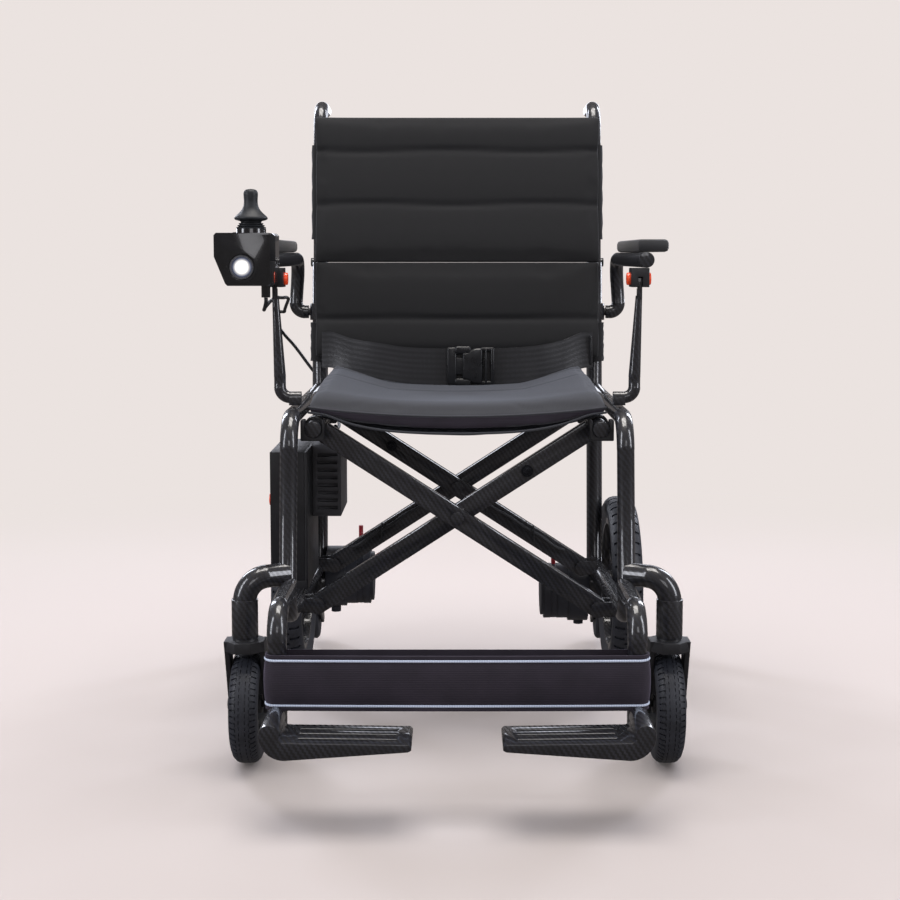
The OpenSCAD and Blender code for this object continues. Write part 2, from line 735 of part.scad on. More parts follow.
module lap_belt() color(plastic) {
    z = cushion_z + cushion_t + gap + belt_lift;
    side_x = frame_x - 20;
    translate([-120, belt_y, z]) cube([240, belt_t, belt_w]);
    for (m = [0, 1]) mirror([m, 0, 0]) hull() {
        translate([119, belt_y, z]) cube([1, belt_t, belt_w]);
        translate([side_x, belt_y + belt_back, z + belt_rise]) cube([1, belt_t, belt_w]);
    }
}

module belt_buckle() color([0.09, 0.09, 0.1])
    translate([-20, belt_y - gap - buckle_t, cushion_z + cushion_t + gap])
        cube([buckle_w, buckle_t, belt_w + 2 * belt_lift]);

module calf_strap() color([0.14, 0.12, 0.17])
    translate([0, leg_y, strap_z]) linear_extrude(strap_h) difference() {
        union() {
            for (x = [-leg_x, leg_x]) translate([x, 0]) circle(hanger_r + gap + strap_t);
            square([2 * leg_x, 2 * (hanger_r + gap + strap_t)], center = true);
        }
        for (x = [-leg_x, leg_x]) translate([x, 0]) circle(hanger_r + gap);
        square([2 * leg_x, 2 * (hanger_r + gap)], center = true);
    }

side_frame(-1);  // right_side_frame
side_frame(1);  // left_side_frame
saddles(-1);  // right_saddles
saddles(1);  // left_saddles
arm_post(-1);  // right_arm_post
arm_post(1);  // left_arm_post
foot_hanger(-1);  // right_foot_hanger
foot_hanger(1);  // left_foot_hanger
footplate(-1);  // right_footplate
footplate(1);  // left_footplate
caster_fork(-1);  // right_caster_fork
caster_fork(1);  // left_caster_fork
caster_tyre(-1);  // right_caster_tyre
caster_tyre(1);  // left_caster_tyre
caster_rim(-1);  // right_caster_rim
caster_rim(1);  // left_caster_rim
rear_tyre(-1);  // right_rear_tyre
rear_tyre(1);  // left_rear_tyre
rear_rim(-1);  // right_rear_rim
rear_rim(1);  // left_rear_rim
motor(-1);  // right_motor
motor(1);  // left_motor
clutch_lever(-1);  // right_clutch_lever
clutch_lever(1);  // left_clutch_lever
antitip_arm(-1);  // right_antitip_arm
antitip_arm(1);  // left_antitip_arm
antitip_wheel(-1);  // right_antitip_wheel
antitip_wheel(1);  // left_antitip_wheel
battery_case();
battery_button();
battery_cradle();
controller_case();
cross_bars_a();
cross_bars_b();
seat_rail(-1);  // right_seat_rail
seat_rail(1);  // left_seat_rail
back_post(-1);  // right_back_post
back_post(1);  // left_back_post
arm_tube(-1);  // right_arm_tube
arm_tube(1);  // left_arm_tube
arm_pad(-1);  // right_arm_pad
arm_pad(1);  // left_arm_pad
arm_latch(-1);  // right_arm_latch
arm_latch(1);  // left_arm_latch
latch_button(-1);  // right_latch_button
latch_button(1);  // left_latch_button
joystick_case();
joystick_gimbal();
joystick_lever();
headlight();
power_button();
joystick_cable();
frame_cable();
seat_cushion();
seat_sling();
back_pad_upper();
back_pad_lower();
lap_belt();
belt_buckle();
calf_strap();
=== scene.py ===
import json
import math

import bpy
import numpy as np
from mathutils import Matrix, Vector


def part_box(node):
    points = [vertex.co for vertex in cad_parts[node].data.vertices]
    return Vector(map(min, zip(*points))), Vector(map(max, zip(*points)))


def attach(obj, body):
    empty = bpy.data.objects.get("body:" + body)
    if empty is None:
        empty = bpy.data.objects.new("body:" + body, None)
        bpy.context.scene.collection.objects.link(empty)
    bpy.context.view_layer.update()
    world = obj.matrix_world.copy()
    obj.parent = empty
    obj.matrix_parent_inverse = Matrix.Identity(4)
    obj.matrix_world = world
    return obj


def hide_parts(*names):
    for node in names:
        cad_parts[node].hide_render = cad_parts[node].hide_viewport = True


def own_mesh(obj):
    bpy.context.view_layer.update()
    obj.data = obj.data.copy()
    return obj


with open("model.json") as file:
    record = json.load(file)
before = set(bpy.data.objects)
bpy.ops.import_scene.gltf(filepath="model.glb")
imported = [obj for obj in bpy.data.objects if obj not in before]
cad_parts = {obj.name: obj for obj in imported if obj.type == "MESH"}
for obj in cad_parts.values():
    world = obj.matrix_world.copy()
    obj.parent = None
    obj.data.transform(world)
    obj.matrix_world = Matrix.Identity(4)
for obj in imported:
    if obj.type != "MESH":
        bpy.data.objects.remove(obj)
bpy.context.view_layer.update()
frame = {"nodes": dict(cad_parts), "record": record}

body_of = {n: b for b, nodes in frame["record"]["behaviour"]["bodies"].items() for n in nodes}
bpy.ops.object.select_all(action="DESELECT")

# Camera, lights and floor.
# A long lens stands two metres in front of the chair, at armrest height and turned down a little.
# The sweep is pale warm paper; big soft boxes stand at both sides and overhead.
camera = bpy.data.objects.new("camera", bpy.data.cameras.new("camera"))
camera.data.lens = 57.68
camera.data.sensor_width = 36.0
camera.data.shift_y = -0.08
camera.location = (0.0, -2.0554, 0.668)
camera.rotation_euler = (math.radians(90.0 - 4.857), 0.0, 0.0)
camera.data.shift_x = -0.008
bpy.context.collection.objects.link(camera)
bpy.context.scene.camera = camera
bpy.context.scene.view_settings.view_transform = "Standard"


def linear(code):
    """An sRGB hex colour as the linear colour that a socket takes."""
    parts = [int(code[i:i + 2], 16) / 255 for i in (0, 2, 4)]
    return [*[c / 12.92 if c <= 0.04045 else ((c + 0.055) / 1.055) ** 2.4 for c in parts], 1.0]


def add(tree, kind, inputs=None, **settings):
    """Adds a node, with its settings, and its input values or links."""
    node = tree.nodes.new("ShaderNode" + kind)
    for name, value in settings.items():
        setattr(node, name, value)
    for socket, value in (inputs or {}).items():
        if isinstance(value, bpy.types.NodeSocket):
            tree.links.new(value, node.inputs[socket])
        else:
            node.inputs[socket].default_value = value
    return node


def surface(name, constants=None):
    """Starts a material, with the values that are the same all over it: itself, tree, shader, coordinates."""
    finish = bpy.data.materials.new(name)
    finish.use_nodes = True
    shader = finish.node_tree.nodes["Principled BSDF"]
    for socket, value in (constants or {}).items():
        shader.inputs[socket].default_value = value
    return finish, finish.node_tree, shader, add(finish.node_tree, "TexCoord")


# Matt seamless paper: it takes the chair's shadow near it, and keeps one even tone further off
paper, tree, shader, place = surface("seamless_paper", {
    "Roughness": 0.95, "Specular IOR Level": 0.0, "Emission Strength": 1.0})
away = add(tree, "VectorMath", {0: place.outputs["Object"], 1: (0.0, 0.0, 0.0)}, operation="DISTANCE")
far = add(tree, "MapRange", {"Value": away.outputs["Value"], "From Min": 0.75, "From Max": 2.1},
          interpolation_type="SMOOTHSTEP")
lit = add(tree, "MixRGB", {"Fac": far.outputs["Result"], "Color1": linear("b6b0ae"),
                           "Color2": (0.0, 0.0, 0.0, 1.0)})
own = add(tree, "MixRGB", {"Fac": far.outputs["Result"], "Color1": linear("3f3c3c"),
                           "Color2": linear("ebe3e0")})
tree.links.new(lit.outputs["Color"], shader.inputs["Base Color"])
tree.links.new(own.outputs["Color"], shader.inputs["Emission Color"])

bpy.ops.mesh.primitive_plane_add(size=1.0, location=(0, 0, -0.0005))
floor = bpy.context.object
floor.name = "paper_sweep"
bpy.ops.object.mode_set(mode="EDIT")
bpy.ops.transform.resize(value=(24.0, 12.0, 1.0))
bpy.ops.transform.translate(value=(0, -1.5, 0))
bpy.ops.object.mode_set(mode="OBJECT")
for v in floor.data.vertices:
    v.select = v.co.y > 0
for e in floor.data.edges:
    e.select = all(floor.data.vertices[i].select for i in e.vertices)
bpy.ops.object.mode_set(mode="EDIT")
for k in range(1, 13):
    turn = math.radians(7.5 * k)
    bpy.ops.mesh.extrude_region_move(TRANSFORM_OT_translate={
        "value": (0, 0.33 * math.cos(turn), 0.33 * math.sin(turn))})
bpy.ops.mesh.extrude_region_move(TRANSFORM_OT_translate={"value": (0, 0, 9.0)})
bpy.ops.object.mode_set(mode="OBJECT")
bpy.ops.object.transform_apply(location=True, rotation=True, scale=True)
bpy.ops.object.shade_smooth()
floor.data.materials.append(paper)
floor.visible_glossy = False

for name, place, aim, size, power, tint in (
    ("left_softbox", (-2.3, -1.2, 1.5), (0, 0, 0.45), (0.6, 2.2), 32.0, "f4f6ff"),
    ("right_softbox", (2.3, -1.0, 1.5), (0, 0, 0.45), (0.6, 2.2), 32.0, "f4f6ff"),
    ("overhead_softbox", (0.0, -0.1, 2.6), (0, 0.05, 0.4), (1.5, 1.2), 46.0, "fffaf6"),
    ("rear_softbox", (0.0, 2.9, 1.25), (0, 0, 0.3), (2.4, 0.6), 12.0, "eef2ff"),
    ("front_fill", (0.3, -3.4, 1.9), (0, 0, 0.5), (1.4, 1.0), 9.0, "fbfaff"),
    ("rear_left_rim", (-1.5, 1.6, 1.5), (0, 0, 0.6), (0.35, 1.5), 20.0, "eef2ff"),
    ("rear_right_rim", (1.5, 1.6, 1.5), (0, 0, 0.6), (0.35, 1.5), 20.0, "eef2ff"),
):
    light = bpy.data.objects.new(name, bpy.data.lights.new(name, "AREA"))
    light.data.shape = "RECTANGLE"
    light.data.size, light.data.size_y = size
    light.data.energy = power
    light.data.color = linear(tint)[:3]
    light.location = place
    light.rotation_euler = (Vector(aim) - Vector(place)).to_track_quat("-Z", "Y").to_euler()
    light.visible_camera = False
    bpy.context.collection.objects.link(light)

world = bpy.data.worlds.new("studio_air")
world.use_nodes = True
world.node_tree.nodes["Background"].inputs["Color"].default_value = linear("ebe1df")
world.node_tree.nodes["Background"].inputs["Strength"].default_value = 0.16
bpy.context.scene.world = world


# The two cables: the joystick's lead, and its run through the frame to the controller.
# Round PVC-sheathed control cable, 5.2 mm thick, moulded at the gland and clamped at the arm's pivot.
# It is held at both ends and lies in a slack curve under the armrest.
cable_sheath, tree, shader, place = surface("pvc_cable_sheath", {"IOR": 1.53})
# Faint mottling of moulded PVC, 3 mm across
mottle = add(tree, "TexNoise", {"Vector": place.outputs["Object"], "Scale": 330.0, "Detail": 3.0})
tone = add(tree, "MixRGB", {"Fac": mottle.outputs["Fac"], "Color1": linear("0e0f11"),
                            "Color2": linear("1b1c1f")})
tree.links.new(tone.outputs["Color"], shader.inputs["Base Color"])
sheen = add(tree, "MapRange", {"Value": mottle.outputs["Fac"], "To Min": 0.3, "To Max": 0.5})
tree.links.new(sheen.outputs["Result"], shader.inputs["Roughness"])
pimple = add(tree, "Bump", {"Height": mottle.outputs["Fac"], "Strength": 0.1, "Distance": 0.0003})
tree.links.new(pimple.outputs["Normal"], shader.inputs["Normal"])

joystick_run = (
    (-256, -123, 611.7), (-256, -123, 606), (-258, -119, 599), (-261, -106, 595), (-263, -80, 597),
    (-263, -50, 601), (-263, -20, 604), (-264, 60, 606), (-265, 140, 604), (-267, 210, 602),
    (-270, 250, 597), (-275, 268, 589), (-279, 279, 581), (-281, 285, 577), (-284, 285, 577))
frame_run = (
    (-284, 285, 577), (-287, 285, 577), (-292, 288, 571), (-294, 297, 558), (-286, 308, 542),
    (-268, 314, 520), (-244, 312, 488), (-216, 304, 452), (-198, 282, 416), (-189, 235, 402),
    (-186, 180, 399), (-184, 132, 405), (-184, 104, 411), (-184, 96, 407), (-184, 95, 401),
    (-184, 95, 395.3))
for name, run, node in (("joystick_lead", joystick_run, "joystick_cable"),
                        ("controller_lead", frame_run, "frame_cable")):
    line = bpy.data.curves.new(name, "CURVE")
    line.dimensions = "3D"
    line.bevel_depth = 0.0026
    line.bevel_resolution = 4
    line.resolution_u = 6
    line.use_fill_caps = True
    spline = line.splines.new("BEZIER")
    spline.bezier_points.add(len(run) - 1)
    for knot, spot in zip(spline.bezier_points, run):
        knot.co = Vector(spot) / 1000
        knot.handle_left_type = knot.handle_right_type = "AUTO"
    lead = bpy.data.objects.new(name, line)
    bpy.context.collection.objects.link(lead)
    bpy.context.view_layer.update()
    line.materials.append(cable_sheath)
    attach(lead, body_of[node])
    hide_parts(node)


# The side frames, and every other part wound or moulded in carbon.
# Carbon fibre tubes in 2x2 twill, moulded in halves under a clear gloss coat, with their joints bonded;
# each is carried over from its solid, welded into one skin and eased along its sharp edges.
carbon, tree, shader, place = surface("clear_coated_carbon_twill", {
    "IOR": 1.5, "Coat Weight": 1.0, "Coat Roughness": 0.05, "Metallic": 0.0})
xyz = add(tree, "SeparateXYZ", {"Vector": place.outputs["Object"]})
# Tows 2.6 mm wide: the real 2 mm ones would be too fine to show
tows = 1 / 0.0026
u = add(tree, "Math", {0: xyz.outputs["X"], 1: xyz.outputs["Y"]}, operation="ADD")
w = add(tree, "Math", {0: xyz.outputs["X"], 1: xyz.outputs["Y"]}, operation="SUBTRACT")
v = add(tree, "Math", {0: w.outputs[0], 1: 0.5, 2: xyz.outputs["Z"]}, operation="MULTIPLY_ADD")
a = add(tree, "Math", {0: u.outputs[0], 1: tows}, operation="MULTIPLY")
b = add(tree, "Math", {0: v.outputs[0], 1: tows}, operation="MULTIPLY")
column = add(tree, "Math", {0: a.outputs[0]}, operation="FLOOR")
row = add(tree, "Math", {0: b.outputs[0]}, operation="FLOOR")
step = add(tree, "Math", {0: column.outputs[0], 1: row.outputs[0]}, operation="ADD")
fold4 = add(tree, "Math", {0: step.outputs[0], 1: 4.0}, operation="FLOORED_MODULO")
warp = add(tree, "Math", {0: fold4.outputs[0], 1: 1.5}, operation="LESS_THAN")
# Uneven light across the weave where the resin is thicker, 20 mm across
cloud = add(tree, "TexNoise", {"Vector": place.outputs["Object"], "Scale": 50.0, "Detail": 2.0})
tone = add(tree, "MixRGB", {"Fac": warp.outputs[0], "Color1": linear("0a0a0c"), "Color2": linear("2c2e35")})
deep = add(tree, "MixRGB", {"Fac": cloud.outputs["Fac"], "Color1": tone.outputs["Color"],
                            "Color2": linear("0d0d10")}, blend_type="MIX")
tree.links.new(deep.outputs["Color"], shader.inputs["Base Color"])
gloss = add(tree, "MapRange", {"Value": warp.outputs[0], "To Min": 0.5, "To Max": 0.28})
tree.links.new(gloss.outputs["Result"], shader.inputs["Roughness"])
relief = add(tree, "Bump", {"Height": warp.outputs[0], "Strength": 0.12, "Distance": 0.0002})
tree.links.new(relief.outputs["Normal"], shader.inputs["Normal"])


def pick_out(piece):
    """Makes the piece the only one selected, and the active one."""
    bpy.ops.object.select_all(action="DESELECT")
    piece.select_set(True)
    bpy.context.view_layer.objects.active = piece


def carried_over(node, finish, edge=0.0007):
    """A welded copy of the CAD solid with its sharp edges rounded, standing for it."""
    piece = bpy.data.objects.new(node + "_skin", frame["nodes"][node].data.copy())
    bpy.context.collection.objects.link(piece)
    piece.data.materials.clear()
    piece.data.materials.append(finish)
    pick_out(piece)
    if piece.data.has_custom_normals:
        bpy.ops.mesh.customdata_custom_splitnormals_clear()
    bpy.ops.object.mode_set(mode="EDIT")
    bpy.ops.mesh.select_all(action="SELECT")
    bpy.ops.mesh.remove_doubles(threshold=0.00001)
    bpy.ops.mesh.dissolve_limited(angle_limit=math.radians(0.6))
    bpy.ops.object.mode_set(mode="OBJECT")
    if edge:
        ease = piece.modifiers.new("eased_edges", "BEVEL")
        ease.width = edge
        ease.segments = 2
        ease.limit_method = "ANGLE"
        ease.angle_limit = math.radians(38)
        ease.harden_normals = False
        bpy.ops.object.modifier_apply(modifier="eased_edges")
    bpy.ops.object.shade_smooth_by_angle(angle=math.radians(36))
    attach(piece, body_of[node])
    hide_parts(node)
    return piece


for hand in ("right", "left"):
    for part in ("side_frame", "foot_hanger", "back_post", "arm_tube"):
        carried_over(f"{hand}_{part}", carbon, 0.0008)
    for part in ("arm_post", "seat_rail", "antitip_arm", "rear_rim"):
        carried_over(f"{hand}_{part}", carbon, 0.0012)
for pair in ("cross_bars_a", "cross_bars_b"):
    carried_over(pair, carbon, 0.0016)


# Bolts: a black-oxide socket head with its washer on a bar of each pair, half way up.
# The head is turned, with a hexagon broached in it; it is modelled once and copied.
blackened, tree, shader, place = surface("black_oxide_steel", {"Metallic": 0.85})
# Oily patches of the oxide, 3 mm across
oil = add(tree, "TexNoise", {"Vector": place.outputs["Object"], "Scale": 330.0, "Detail": 3.0})
tone = add(tree, "MixRGB", {"Fac": oil.outputs["Fac"], "Color1": linear("16171a"),
                           "Color2": linear("3a3c42")})
tree.links.new(tone.outputs["Color"], shader.inputs["Base Color"])
gloss = add(tree, "MapRange", {"Value": oil.outputs["Fac"], "To Min": 0.25, "To Max": 0.45})
tree.links.new(gloss.outputs["Result"], shader.inputs["Roughness"])

bpy.ops.mesh.primitive_cylinder_add(vertices=24, radius=0.0085, depth=0.0012, location=(0, 0, 0))
head = bpy.context.object
bpy.ops.object.mode_set(mode="EDIT")
bpy.ops.mesh.primitive_cylinder_add(vertices=24, radius=0.0058, depth=0.0040, location=(0, 0, 0.0024))
bpy.ops.mesh.bevel(offset=0.0006, segments=2, affect="EDGES")
bpy.ops.mesh.primitive_cylinder_add(vertices=6, radius=0.0030, depth=0.0008, location=(0, 0, 0.0047))
bpy.ops.object.mode_set(mode="OBJECT")
bpy.context.tool_settings.mesh_select_mode = (False, False, True)
for f in head.data.polygons:
    f.select = f.normal.z > 0.9 and f.center.z > 0.0048
bpy.ops.object.mode_set(mode="EDIT")
bpy.ops.mesh.inset(thickness=0.0006, depth=0.0)
bpy.ops.mesh.extrude_region_shrink_fatten(TRANSFORM_OT_shrink_fatten={"value": -0.0022})
bpy.ops.object.mode_set(mode="OBJECT")
bpy.context.tool_settings.mesh_select_mode = (True, False, False)
bpy.ops.object.shade_smooth_by_angle(angle=math.radians(35))
head.data.materials.append(blackened)

bars_a, bars_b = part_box("cross_bars_a"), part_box("cross_bars_b")
# The bars cross 311 mm up and climb 250 mm over 386 mm of width
cross_z, rise = 0.311, 0.250 / 0.386
bolts = (
    ("bar_bolt_back", "cross_b", (-0.101, bars_b[1].y - 0.0206, cross_z + rise * 0.101)),
    ("bar_bolt_front", "cross_a", (0.096, -0.0936, cross_z + rise * 0.096)),
)
for name, body, spot in bolts:
    bolt = bpy.data.objects.new(name, head.data.copy())
    bpy.context.collection.objects.link(bolt)
    # The head is turned from facing up to facing the front
    for v in bolt.data.vertices:
        x, y, z = v.co
        v.co = (spot[0] + x, spot[1] - z, spot[2] + y)
    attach(bolt, body)
bpy.data.objects.remove(head)


# Wiring loom: braided sleeves along the lower halves of the back bars, tied down with black ties.
# Polyester braid over the motor and brake wires, which go into the bars at both ends.
braid, tree, shader, place = surface("black_braided_sleeve", {"Roughness": 0.6})
# Braid crossings drawn 2.5 mm apart
cross = add(tree, "TexChecker", {"Vector": place.outputs["Object"], "Scale": 400.0,
                                 "Color1": linear("0c0c0e"), "Color2": linear("2a2b30")})
dull = add(tree, "TexNoise", {"Vector": place.outputs["Object"], "Scale": 60.0, "Detail": 3.0})
tone = add(tree, "MixRGB", {"Fac": dull.outputs["Fac"], "Color1": cross.outputs["Color"],
                            "Color2": linear("141518")})
tree.links.new(tone.outputs["Color"], shader.inputs["Base Color"])
relief = add(tree, "Bump", {"Height": cross.outputs["Fac"], "Strength": 0.3, "Distance": 0.0004})
tree.links.new(relief.outputs["Normal"], shader.inputs["Normal"])


def loom(name, body, knots, thick, finish):
    """A tied-down sleeve that follows knots, made a mesh."""
    line = bpy.data.curves.new(name, "CURVE")
    line.dimensions = "3D"
    line.bevel_depth = thick / 2
    line.bevel_resolution = 3
    line.use_fill_caps = True
    spline = line.splines.new("BEZIER")
    spline.bezier_points.add(len(knots) - 1)
    for knot, spot in zip(spline.bezier_points, knots):
        knot.co = spot
        knot.handle_left_type = knot.handle_right_type = "AUTO"
    sleeve = bpy.data.objects.new(name, line)
    bpy.context.collection.objects.link(sleeve)
    pick_out(sleeve)
    bpy.ops.object.convert(target="MESH")
    bpy.ops.object.shade_smooth_by_angle(angle=math.radians(60))
    sleeve.data.materials.clear()
    sleeve.data.materials.append(finish)
    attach(sleeve, body)


for name, body, side, y in (("loom_a", "cross_a", -1, bars_a[1].y - 0.0235),
                            ("loom_b", "cross_b", 1, bars_b[1].y - 0.0235)):
    along = [0.034, 0.042, 0.058, 0.080, 0.105, 0.130, 0.152, 0.165]
    lift = [0.010, 0.007, 0.005, 0.007, 0.006, 0.008, 0.006, 0.009]
    loom(name, body, [(side * a, y, cross_z - rise * a + up) for a, up in zip(along, lift)], 0.0062, braid)
    for k, a in enumerate((0.045, 0.118)):
        # Each tie is a flat band round bar and loom
        z = cross_z - rise * a
        loom(f"{name}_tie_{k}", body, [
            (side * a, y - 0.0035, z - 0.013), (side * a, y - 0.0045, z + 0.004),
            (side * a, y - 0.0028, z + 0.015), (side * a, y + 0.008, z + 0.017)], 0.0022, braid)


# Moulded plastic parts: the saddles that the seat rails drop into, the caster forks and their rims,
# the battery's cradle and the small black controls.
# Glass-filled nylon, matt with a fine sparked grain, and bolted or clipped to the tubes.
nylon, tree, shader, place = surface("sparked_glass_filled_nylon", {"IOR": 1.53})
# Spark-eroded mould grain, drawn 0.9 mm across where the real one is finer
grain = add(tree, "TexNoise", {"Vector": place.outputs["Object"], "Scale": 1100.0, "Detail": 2.0})
wear = add(tree, "TexNoise", {"Vector": place.outputs["Object"], "Scale": 45.0, "Detail": 4.0})
tone = add(tree, "MixRGB", {"Fac": wear.outputs["Fac"], "Color1": linear("101113"),
                            "Color2": linear("212226")})
tree.links.new(tone.outputs["Color"], shader.inputs["Base Color"])
gloss = add(tree, "MapRange", {"Value": wear.outputs["Fac"], "To Min": 0.34, "To Max": 0.52})
tree.links.new(gloss.outputs["Result"], shader.inputs["Roughness"])
relief = add(tree, "Bump", {"Height": grain.outputs["Fac"], "Strength": 0.22, "Distance": 0.0003})
tree.links.new(relief.outputs["Normal"], shader.inputs["Normal"])

for hand in ("right", "left"):
    carried_over(f"{hand}_saddles", nylon, 0.0015)
    carried_over(f"{hand}_caster_fork", nylon, 0.0014)
    carried_over(f"{hand}_caster_rim", nylon, 0.0012)
carried_over("battery_cradle", nylon, 0.001)
carried_over("joystick_gimbal", nylon, 0.0006)
carried_over("power_button", nylon, 0.0008)


# The motors: geared hub-shaft cans behind the cross bars, one each side, the second turned round.
# Die-cast aluminium under a blue-black powder coat, with a stepped end cap and the brake lead's stub below;
# a dark red lever on a ring frees the gears.
powder, tree, shader, place = surface("blue_black_powder_coat", {"IOR": 1.5})
# Orange-peel of the powder, 1.5 mm across
peel = add(tree, "TexNoise", {"Vector": place.outputs["Object"], "Scale": 650.0, "Detail": 1.0})
dust = add(tree, "TexNoise", {"Vector": place.outputs["Object"], "Scale": 30.0, "Detail": 5.0})
tone = add(tree, "MixRGB", {"Fac": dust.outputs["Fac"], "Color1": linear("121419"),
                            "Color2": linear("282b35")})
tree.links.new(tone.outputs["Color"], shader.inputs["Base Color"])
gloss = add(tree, "MapRange", {"Value": dust.outputs["Fac"], "To Min": 0.35, "To Max": 0.5})
tree.links.new(gloss.outputs["Result"], shader.inputs["Roughness"])
relief = add(tree, "Bump", {"Height": peel.outputs["Fac"], "Strength": 0.2, "Distance": 0.0004})
tree.links.new(relief.outputs["Normal"], shader.inputs["Normal"])

red_sleeve, tree, shader, place = surface("dark_red_dipped_vinyl", {"IOR": 1.53, "Coat Weight": 0.3})
# Dipped coating runs a little thicker in places, 6 mm across
run_marks = add(tree, "TexNoise", {"Vector": place.outputs["Object"], "Scale": 160.0, "Detail": 2.0})
tone = add(tree, "MixRGB", {"Fac": run_marks.outputs["Fac"], "Color1": linear("6d0a18"),
                            "Color2": linear("b01228")})
tree.links.new(tone.outputs["Color"], shader.inputs["Base Color"])
gloss = add(tree, "MapRange", {"Value": run_marks.outputs["Fac"], "To Min": 0.25, "To Max": 0.4})
tree.links.new(gloss.outputs["Result"], shader.inputs["Roughness"])

for hand in ("right", "left"):
    carried_over(f"{hand}_motor", powder, 0.0025)
    lever = carried_over(f"{hand}_clutch_lever", powder, 0.0008)
    lever.data.materials.append(red_sleeve)
    can_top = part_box(f"{hand}_motor")[1].z
    for f in lever.data.polygons:
        f.material_index = int(f.center.z > can_top - 0.001)


# Tyres: solid rubber on the drive wheels and casters, and small rollers on the anti-tip arms.
# Moulded black rubber, turned to its section; the tread is cut between blocks as its mould would leave it,
# with broken grooves round the casters.
rubber, tree, shader, place = surface("moulded_tyre_rubber", {"IOR": 1.52})
# Dust lying in the moulded skin: specks 1.2 mm across over patches of 25 mm
speck = add(tree, "TexNoise", {"Vector": place.outputs["Object"], "Scale": 850.0, "Detail": 3.0})
patch = add(tree, "TexNoise", {"Vector": place.outputs["Object"], "Scale": 40.0, "Detail": 3.0})
both = add(tree, "Math", {0: speck.outputs["Fac"], 1: patch.outputs["Fac"]}, operation="MULTIPLY")
tone = add(tree, "MixRGB", {"Fac": both.outputs[0], "Color1": linear("0f1116"), "Color2": linear("3c414d")})
tree.links.new(tone.outputs["Color"], shader.inputs["Base Color"])
gloss = add(tree, "MapRange", {"Value": patch.outputs["Fac"], "To Min": 0.4, "To Max": 0.62})
tree.links.new(gloss.outputs["Result"], shader.inputs["Roughness"])
relief = add(tree, "Bump", {"Height": speck.outputs["Fac"], "Strength": 0.3, "Distance": 0.0003})
tree.links.new(relief.outputs["Normal"], shader.inputs["Normal"])


def turned(name, section, centre, steps, axis=(1, 0, 0)):
    """Spins a closed section of (along, radius) points about an axis through centre, X or Z."""
    along = Vector(axis)
    across = Vector((0, 0, 1)) if axis[0] else Vector((1, 0, 0))
    middle = Vector(centre)
    mesh = bpy.data.meshes.new(name)
    points = [middle + along * s + across * r for s, r in section]
    count = len(points)
    mesh.from_pydata(points, [(i, (i + 1) % count) for i in range(count)], [])
    piece = bpy.data.objects.new(name, mesh)
    bpy.context.collection.objects.link(piece)
    pick_out(piece)
    bpy.ops.object.mode_set(mode="EDIT")
    bpy.ops.mesh.select_all(action="SELECT")
    bpy.ops.mesh.spin(steps=steps, angle=2 * math.pi, center=middle, axis=along)
    bpy.ops.mesh.select_all(action="SELECT")
    bpy.ops.mesh.remove_doubles(threshold=0.00002)
    bpy.ops.mesh.normals_make_consistent(inside=False)
    bpy.ops.object.mode_set(mode="OBJECT")
    return piece


def cut_tread(piece, centre, tread_r, depth, grooves):
    """Sinks every face of the tread band for which grooves(x, turn) is true."""
    middle = Vector(centre)
    bpy.context.tool_settings.mesh_select_mode = (False, False, True)
    for f in piece.data.polygons:
        c = f.center - middle
        radius = math.hypot(c.y, c.z)
        f.select = radius > tread_r and grooves(c.x, math.atan2(c.z, c.y) / (2 * math.pi) + 0.5)
    bpy.ops.object.mode_set(mode="EDIT")
    bpy.ops.mesh.inset(thickness=0.0003, depth=0.0)
    bpy.ops.mesh.extrude_region_shrink_fatten(TRANSFORM_OT_shrink_fatten={"value": -depth})
    bpy.ops.object.mode_set(mode="OBJECT")
    bpy.context.tool_settings.mesh_select_mode = (True, False, False)


